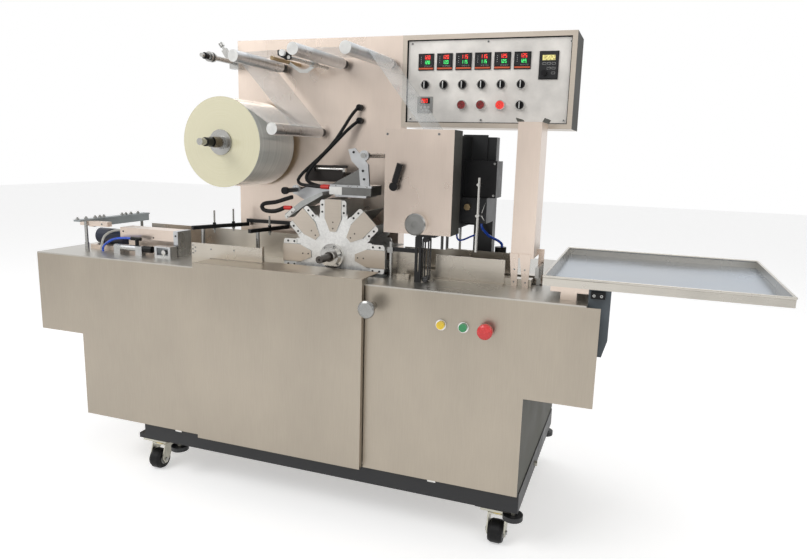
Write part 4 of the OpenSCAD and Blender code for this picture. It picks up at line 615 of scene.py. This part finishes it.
def screws(name, places, radius, height, facing, body, head=ground_steel, recess=black_plastic):
    """A row of screws, each centred on its seat."""
    mesh = bpy.data.meshes.new(name + "_places")
    mesh.from_pydata([at(*p) for p in places], [], [])
    holder = add_object(name + "_places", mesh)
    modifier = holder.modifiers.new("screws", "NODES")
    modifier.node_group = screw_tree
    for socket, value in (("Head Radius", radius / MM), ("Head Height", height / MM),
                          ("Facing", FACINGS[facing]), ("Head Finish", head.material),
                          ("Socket Finish", recess.material)):
        modifier[socket_for(screw_tree, socket)] = value
    bpy.context.view_layer.update()
    evaluated = holder.evaluated_get(bpy.context.evaluated_depsgraph_get())
    made = bpy.data.meshes.new_from_object(evaluated)
    made.name = name
    bpy.data.objects.remove(holder)
    piece = add_object(name, made)
    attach(piece, body)


# Cabinet

paint("left_panel", panel_steel)
paint("centre_cover", panel_steel)
paint("table_plate", table_steel)
dress("cabinet_shell", panel_steel,
      # The cabinet's two end sides take painted shade.
      (painted_shade_steel, (449, 454), (0, 704), (180, 457)),
      (painted_shade_steel, (-1009, -1004), (0, 704), (180, 457)),
      (black_paint, (-1004, 449), (2.1, 700.8), (184.5, 716.5)))
caster_places = ((-771, 88), (391, 88), (-771, 615), (391, 615))
pad_places = ((-669, 45), (438, 45), (-669, 658), (438, 658))
dress("base_frame", black_paint,
      *[(bright_chrome, (x - 1, x + 25), (11, 17.9), (168, 180)) for x in (-658, 198)],
      *[(zinc_plate, (x - 9, x + 9), (y - 9, y + 9), (106.2, 122.8)) for x, y in pad_places],
      *[(zinc_plate, (x - 46, x + 46), (y - 46, y + 46), (99, 107.5)) for x, y in caster_places],
      (zinc_plate, (455.1, 463), (298, 316), (130, 150)))
for k, (x, y) in enumerate(caster_places, 1):
    dress(f"caster_fork_{k}", zinc_plate,
          (yellow_zinc, (x - 28, x + 28), (y - 28, y + 28), (86.2, 107)),
          (ground_steel, (x - 32, x - 27), (y - 30, y - 14), (25, 41)),
          (ground_steel, (x + 27, x + 32), (y - 30, y - 14), (25, 41)))
    paint(f"caster_wheel_{k}", black_rubber)
dress("right_panel", panel_steel,
      *[(bright_chrome, (x - 16, x + 16), (-6, -0.1), (614, 648)) for x in (225, 286, 348)])

# Back plate and control box

paint("back_plate", rosy_steel)
dress("control_box", box_steel,
      # The box's right side takes painted shade.
      (painted_shade_side, (489.5, 490.5), ALL, ALL),
      # The rim's inner faces round the plate take black rubber: partly a gasket, partly painted shade in the
      # recess.
      (black_rubber, (-8, -7.4), (322.1, 333), ALL),
      (black_rubber, (475.7, 476.3), (322.1, 333), ALL),
      (black_rubber, ALL, (322.1, 333), (1166.7, 1167.3)),
      (black_rubber, ALL, (322.1, 333), (1405.7, 1406.3)))
columns = [51 + 57.7 * k for k in range(6)]
DIAL_ROW, UPPER_ROW, LOWER_ROW = 1343, 1277, 1219
selector_places = [(x, UPPER_ROW) for x in columns] + [(columns[5], LOWER_ROW)]
lamp_columns, lamp_lenses = columns[2:5], (dark_red_lens, dark_red_lens, bright_red_lens)
dress("control_plate", plate_grey,
      *[(bright_chrome, (x - 15, x + 15), (324, 329.9), (z - 15, z + 15)) for x, z in selector_places])
dress("panel_instruments", black_plastic,
      (grey_plastic, (columns[0] - 25, columns[0] + 25), (326, 329.9), (LOWER_ROW - 25, LOWER_ROW + 25)),
      *[(bright_chrome, (x - 15, x + 15), (324.5, 330), (1204, 1234)) for x in lamp_columns],
      *[(lens, (x - 13, x + 13), (317, 324.9), (1204, 1234))
        for x, lens in zip(lamp_columns, lamp_lenses)])
for k in range(1, 8):
    paint(f"selector_{k}", black_plastic)
paint("inverter_knob", black_plastic)
paint("yellow_button", yellow_cap)
paint("green_button", green_cap)
paint("stop_button", red_cap)

# The instruments' faces look out at FACE. A window stands GLASS proud of it, the digits as much again,
# and the counter's keys COUNTER_KEY.

FACE, GLASS, COUNTER_KEY = 327.0, 0.5, 1.5
DIGIT_WIDTH, DIGIT_BAR, DIGIT_STEP = 0.5, 0.13, 0.68      # shares of a digit's height
# Seven strokes: a top, b upper right, c lower right, d foot, e lower left, f upper left, g middle
STROKES = {"0": "abcdef", "1": "bc", "2": "abged", "5": "afgcd", "8": "abcdefg"}


def add_digit(shell, digit, x, z, height, finish):
    """One digit of thin bars, its lower left corner at x and z."""
    width, bar, half = height * DIGIT_WIDTH, height * DIGIT_BAR, height / 2
    spans = {"a": ((0, width), (height - bar, height)),
             "b": ((width - bar, width), (half, height)),
             "c": ((width - bar, width), (0, half)),
             "d": ((0, width), (0, bar)),
             "e": ((0, bar), (0, half)),
             "f": ((0, bar), (half, height)),
             "g": ((0, width), (half - bar / 2, half + bar / 2))}
    for stroke in STROKES[digit]:
        (x0, x1), (z0, z1) = spans[stroke]
        add_box(shell, (x + x0, x + x1), (FACE - 2 * GLASS, FACE - GLASS), (z + z0, z + z1), finish)


def add_number(shell, number, x, z, height, finish):
    for place, digit in enumerate(number):
        add_digit(shell, digit, x + place * height * DIGIT_STEP, z, height, finish)


def controller_faces():
    """Display window, two numbers, lamps, keys and the orange strip of each temperature controller."""
    shell = bmesh.new()
    for x, setting in zip(columns, ("120", "120", "115", "115", "125", "125")):
        left, top = x - 24, DIAL_ROW + 24
        add_box(shell, (left + 3, left + 45), (FACE - GLASS, FACE), (top - 37, top - 3), 0)
        add_number(shell, setting, left + 17, top - 16, 10.5, 1)
        add_number(shell, setting, left + 18, top - 30, 9.5, 2)
        for lamp in range(4):
            add_disc(shell, left + 9, top - 10 - 5.5 * lamp, (FACE - 2 * GLASS, FACE - GLASS), 0.9, 3, 10)
        for key in range(4):
            add_box(shell, (left + 19 + 6 * key, left + 23 + 6 * key), (FACE - 2 * GLASS, FACE),
                    (top - 37.5, top - 34.5), 3, 0.3)
        add_box(shell, (left + 1.5, left + 46.5), (FACE - GLASS, FACE), (top - 45, top - 40.5), 4)
    piece_from("controller_faces", shell, "machine", dark_anodised, red_light, green_light, key_plastic,
               orange_strip)


def counter_face():
    """Grey counter with a dark window, three red digits and round keys."""
    shell = bmesh.new()
    left, foot = columns[0] - 24, LOWER_ROW - 24
    add_box(shell, (left + 8, left + 40), (FACE - GLASS, FACE), (foot + 28, foot + 44), 0)
    add_number(shell, "280", left + 12, foot + 30.5, 11, 1)
    for x, z, radius in ((12, 17, 3.4), (24, 17, 3.4), (36, 17, 3.4), (18, 8, 2.6), (30, 8, 2.6)):
        add_disc(shell, left + x, foot + z, (FACE - COUNTER_KEY, FACE), radius, 2, 20)
    piece_from("counter_face", shell, "machine", black_plastic, red_light, key_plastic)


def inverter_face():
    """Speed controller: a dark face with a lit display and grey keys."""
    shell = bmesh.new()
    left, foot = 387.2, 1290
    add_box(shell, (left + 2, left + 52), (FACE - 1.2, FACE), (foot + 2, foot + 75), 0, 0.8)
    add_box(shell, (left + 9, left + 45), (FACE - 2, FACE - 1), (foot + 52, foot + 66), 1)
    add_number(shell, "25", left + 24, foot + 54, 9.5, 3)
    for column, row in ((0, 0), (1, 0), (2, 0), (1, 1), (2, 1), (2, 2)):
        add_box(shell, (left + 10 + 13 * column, left + 20 + 13 * column), (FACE - 2.2, FACE - 1),
                (foot + 40 - 13 * row, foot + 46 - 13 * row), 2, 0.6)
    piece_from("inverter_face", shell, "machine", dark_anodised, amber_light, key_plastic, black_plastic)


def plate_gasket_and_shade():
    """Black strip that shows all round between the control plate and its frame: partly a rubber gasket,
    partly painted shade in the recess.
    """
    shell = bmesh.new()
    left, right, foot, top, wide = -7.4, 475.7, 1167.3, 1405.7, 2.2
    depth = (329.2, 329.8)
    for z in (foot, top - wide):
        add_box(shell, (left, right), depth, (z, z + wide))
    for x in (left, right - wide):
        add_box(shell, (x, x + wide), depth, (foot + wide, top - wide))
    piece_from("plate_gasket_and_shade", shell, "machine", black_rubber)


def selector_lines():
    """The white pointer on each selector."""
    for number, (x, z) in enumerate(selector_places, 1):
        shell = bmesh.new()
        add_box(shell, (x - 1.3, x + 1.3), (312.5, 313.2), (z - 9.5, z + 9.5), 0, 0.3)
        piece_from(f"selector_line_{number}", shell, f"selector_switch_{number}", white_plastic)


plate_gasket_and_shade()
controller_faces()
counter_face()
inverter_face()
selector_lines()

# Turret, film and heaters

TURRET_X, TURRET_Z = -157, 768
rollers = [(-429, 1332, 36), (-214, 1340, -8), (-56, 1338, -16), (-290, 1131, 10)]      # x, z and front end
paint("turret_discs", star_zinc)
dress("turret_pockets", heater_zinc,
      (tin_white, ALL, (128.9, 129.2), ALL),
      (box_steel, ALL, (127.9, 128.2), ALL),
      (dark_anodised, ALL, (126, 127.8), ALL))
dress("turret_shaft", bright_chrome,
      (shaft_steel, ALL, (39, 104), ALL),
      (shaft_steel, ALL, (132, 387), ALL))
paint("turret_drive", grey_paint)
paint("handwheel", knob_face)
dress("film_supports", ground_steel,
      *[(black_plastic, (x - 14, x + 14), (295, 323), (z - 14, z + 14)) for x, z, _ in rollers],
      (black_plastic, (-532, -502), (17.9, 48), (1077, 1105)),
      (collar_thread, (-534, -500), (48.1, 80), (1074, 1108)),
      (black_plastic, (-608, -586), (136, 150), (1338, 1360)),
      (black_plastic, (-312, -264), (78.5, 82.5), (1320, 1352)),
      (white_plastic, (-302, -282), (70.5, 78.9), (1332, 1352)),
      (tin_white, (-388, -262), (249.8, 252.2), (1306, 1344)),
      (brass, (-379, -365), (151, 322), (1333, 1347)),
      (bright_chrome, (-273, -165), (227, 239.9), (1010, 1025)),
      (bar_brown, (-311, -161), (239.9, 248.1), (978, 1034)),
      (black_plastic, (-290, -186), (248.2, 321), (994, 1014)),
      (black_plastic, (-334, -308), (130, 143.1), (940, 966)),
      (dark_anodised, (-330, -312), (143.2, 321), (944, 962)))
for k, (x, z, y) in enumerate(rollers, 1):
    dress(f"guide_roller_{k}", satin_aluminium,
          (white_plastic, (x - 18, x + 18), (y - 1, y + 4), (z - 18, z + 18)))
paint("film_roll", film_wound)
paint("roll_chucks", ground_steel)
paint("film_web", film_clear)
# The cover's right side takes painted shade.
dress("film_unit_cover", rosy_steel, (painted_shade_side, (221.6, 222.4), ALL, ALL))
dress("film_unit_frame", dark_anodised,
      (smoky_guard, (190, 313), (199.9, 200.1), (950, 1062)),
      (black_plastic, (190, 313), (199, 276), (950, 1062)),
      (brass, (226, 248), (167, 182), (920, 942)),
      (bright_chrome, (272, 282), (121, 199.9), (811, 1016)),
      (ground_steel, (180, 189), (306, 310.1), (785, 870)),
      (satin_aluminium, (30, 220), (147, 151.7), (850, 870)))
paint("crank_handle", black_plastic)
dress("feed_knob", bright_chrome,
      (ground_steel, (117, 139), (39, 43), (876, 898)),
      (knob_face, (97, 159), (39.5, 42.5), (856, 918)))
dress("feed_belts", toothed_belt,
      (dark_anodised, (112, 133), (88, 101), (719, 849)),
      (dark_anodised, (110, 172), (88, 305), (847.9, 859)))
dress("air_hoses", blue_tube,
      (black_plastic, (294, 330), (282, 318), (719, 808.1)),
      (pale_tube, (-1036, -948), (119, 162), (719, 800)))
dress("heater_cables", black_rubber,
      (red_sleeve, (-215.9, -189), (160, 176), (960, 976)),
      (red_sleeve, (-217.9, -191), (178, 194), (960, 976)),
      (red_sleeve, (-337, -309), (157, 173), (891, 907)))
dress("heater_arm_1", heater_zinc,
      (tin_white, (-332, -290), (146.5, 149.9), (864, 906)),
      (satin_aluminium, (-340, -185), (203, 212), (925, 980)))
dress("heater_arm_2", satin_aluminium,
      (dark_zinc, (-138.9, -45), (149, 233), (948, 970.9)),
      (dark_zinc, (-181, -87), (164.9, 172.1), (977.1, 1030)),
      (tin_white, (-181, -139.4), (149, 233), (948, 970.9)))
# A band on the magazine's side takes painted shade.
dress("magazine", rosy_steel, (painted_shade_steel, (360, 440), ALL, (1165.5, 1180)))
dress("infeed_guides", guide_steel,
      (dark_anodised, (35.1, 111), (127, 137), (795, 809)),
      (ground_steel, (18, 36), (123, 141), (720, 824)),
      (ground_steel, (320, 490), (180, 260), (670, 716)))
paint("pusher", ground_steel)
dress("tray", tray_steel, (tray_film, (476, 1046), (33, 617), (756.8, 757.2)))
dress("tray_brackets", grey_paint,
      (rosy_steel, (490, 592.1), ALL, (719, 756)),
      (black_plastic, (597, 634), (25, 40.1), (733, 752)))
thread_places = [(-617.7, 193.6), (-588.8, 258.5), (-430, 225.5)]
dress("outfeed_guides", guide_steel,
      *[(rod_thread, (x - 7, x + 7), (y - 7, y + 7), (800, 876)) for x, y in thread_places],
      (dark_anodised, (-665, -395), (110, 323), (814.5, 840)),
      (ground_steel, (-645, -430), (140, 190), (719, 815)))
dress("outfeed_press", rosy_steel,
      (satin_aluminium, (-729.1, -711.9), (125, 195), (719, 804)),
      (satin_aluminium, (-941, -825), (86, 108), (719, 753)),
      (black_plastic, (-882, -842), (90, 112), (750, 779)),
      (bright_chrome, (-742, -722), (77, 109.5), (730, 748)),
      (satin_aluminium, (-773, -709), (83, 119), (719, 758)))
dress("press_rod", black_plastic, (bright_chrome, (-860, -822.1), (90, 104), (736, 748)))
dress("outfeed_stand", stand_zinc,
      (ground_steel, (-1058, -1042), (77, 359), (719, 822)),
      (ground_steel, (-1058, -1042), (45, 345), (828.1, 840)),
      (rosy_steel, (-1079, -961), (87, 109), (805, 822)),
      (black_plastic, (-1000, -977), (168, 224), (734.1, 787)),
      (navy_paint, (-1097, -977), (168, 224), (734.1, 787)),
      (rosy_steel, (-1091, -957), (139, 251), (719, 734.1)))


AXLE_AHEAD, AXLE_Z = 22, 33      # a wheel's axle in front of its fork's pin, and its height
HUB_THICK = 2
HUB_STEPS = ((17, 20.9), (10, 21.8))      # radius, and reach from the wheel's middle


def hub_caps():
    """Pressed hub discs on both sides of each caster wheel, with a raised centre."""
    for number, (x, y) in enumerate(caster_places, 1):
        shell = bmesh.new()
        for side in (-1, 1):
            for radius, reach in HUB_STEPS:
                middle = at(x + side * (reach - HUB_THICK / 2), y - AXLE_AHEAD, AXLE_Z)
                add_cylinder(shell, middle, "Y", radius, HUB_THICK)
        piece_from(f"hub_caps_{number}", shell, f"wheel_{number}", grey_plastic)


hub_caps()


# Screws that show: each row's places, head radius and height, facing and body

def round_turret(reach, y, angles, aside=0):
    """Places round the turret's axis, at a distance out, at angles in degrees and a distance to one side."""
    for angle in angles:
        a = math.radians(angle)
        yield (TURRET_X + reach * math.cos(a) - aside * math.sin(a), y,
               TURRET_Z + reach * math.sin(a) + aside * math.cos(a))


eighths = range(0, 360, 45)
tab_places = [p for reach in (129, 150) for aside in (-35, 35)
              for p in round_turret(reach, 128.5, eighths, aside)]
screws("control_plate_screws",
       [(x, 329, z) for x, z in ((6, 1396), (238, 1397), (473, 1392), (6, 1177), (226, 1176), (466, 1177))],
       3.4, 2.4, "front", "machine")
screws("turret_hub_screws", list(round_turret(31, 118.4, range(12, 372, 60))), 4, 2.2, "front", "turret")
screws("tab_screws", tab_places, 3, 1.6, "front", "turret", dark_anodised)
screws("film_cover_screws", [(35, 64.5, 1124), (180, 64.5, 1126)], 3.4, 1.8, "front", "machine")
screws("guard_screws", [(x, 199.5, z) for x in (200, 303) for z in (964, 1052)], 3, 1.6, "front", "machine")
screws("outfeed_plate_screws",
       [(x, 69.5, z) for x, z in ((-611, 774), (-611, 762), (-611, 750), (-602, 756), (-602, 768),
                                  (-544, 766), (-461, 768))],
       2.8, 1.6, "front", "machine")
screws("strip_screws", [(x, 276.5, 795.5) for x in (170, 235, 295, 345)], 3, 1.8, "up", "machine")
screws("arm_plate_screws", [(-106, 157.5, 1073), (-76, 157.5, 1020), (-72, 157.5, 996)],
       3.6, 2, "front", "heater_2", dark_anodised)
screws("heater_lid_screws", [(x, 152.5, 974) for x in (-160, -120, -90, -60)], 1.8, 1, "front", "heater_2")
screws("left_heater_screws", [(-304, 146.5, 888), (-318, 146.5, 874)], 2.6, 1.2, "front", "heater_1")
screws("block_screws", [(72, 121, 734.5)], 3.6, 2, "up", "machine")
screws("magazine_foot_screws", [(381, 161.5, 733), (413, 161.5, 733), (381, 161.5, 768), (410, 161.5, 768)],
       2.6, 1.6, "front", "machine")
screws("tray_clamp_screws", [(606, 25.5, 742), (624, 25.5, 742)], 3.6, 2, "front", "machine")
screws("end_cap_screws", [(-720.5, 125.5, 788), (-720.5, 125.5, 738)],
       3, 1.6, "front", "machine", dark_anodised)
screws("heater_box_screws", [(-936, 129.5, 790), (-812, 129.5, 776)],
       2.6, 1.4, "front", "machine", dark_anodised)
screws("cross_bar_screw", [(-985, 87.5, 814)], 3.4, 1.8, "front", "machine")
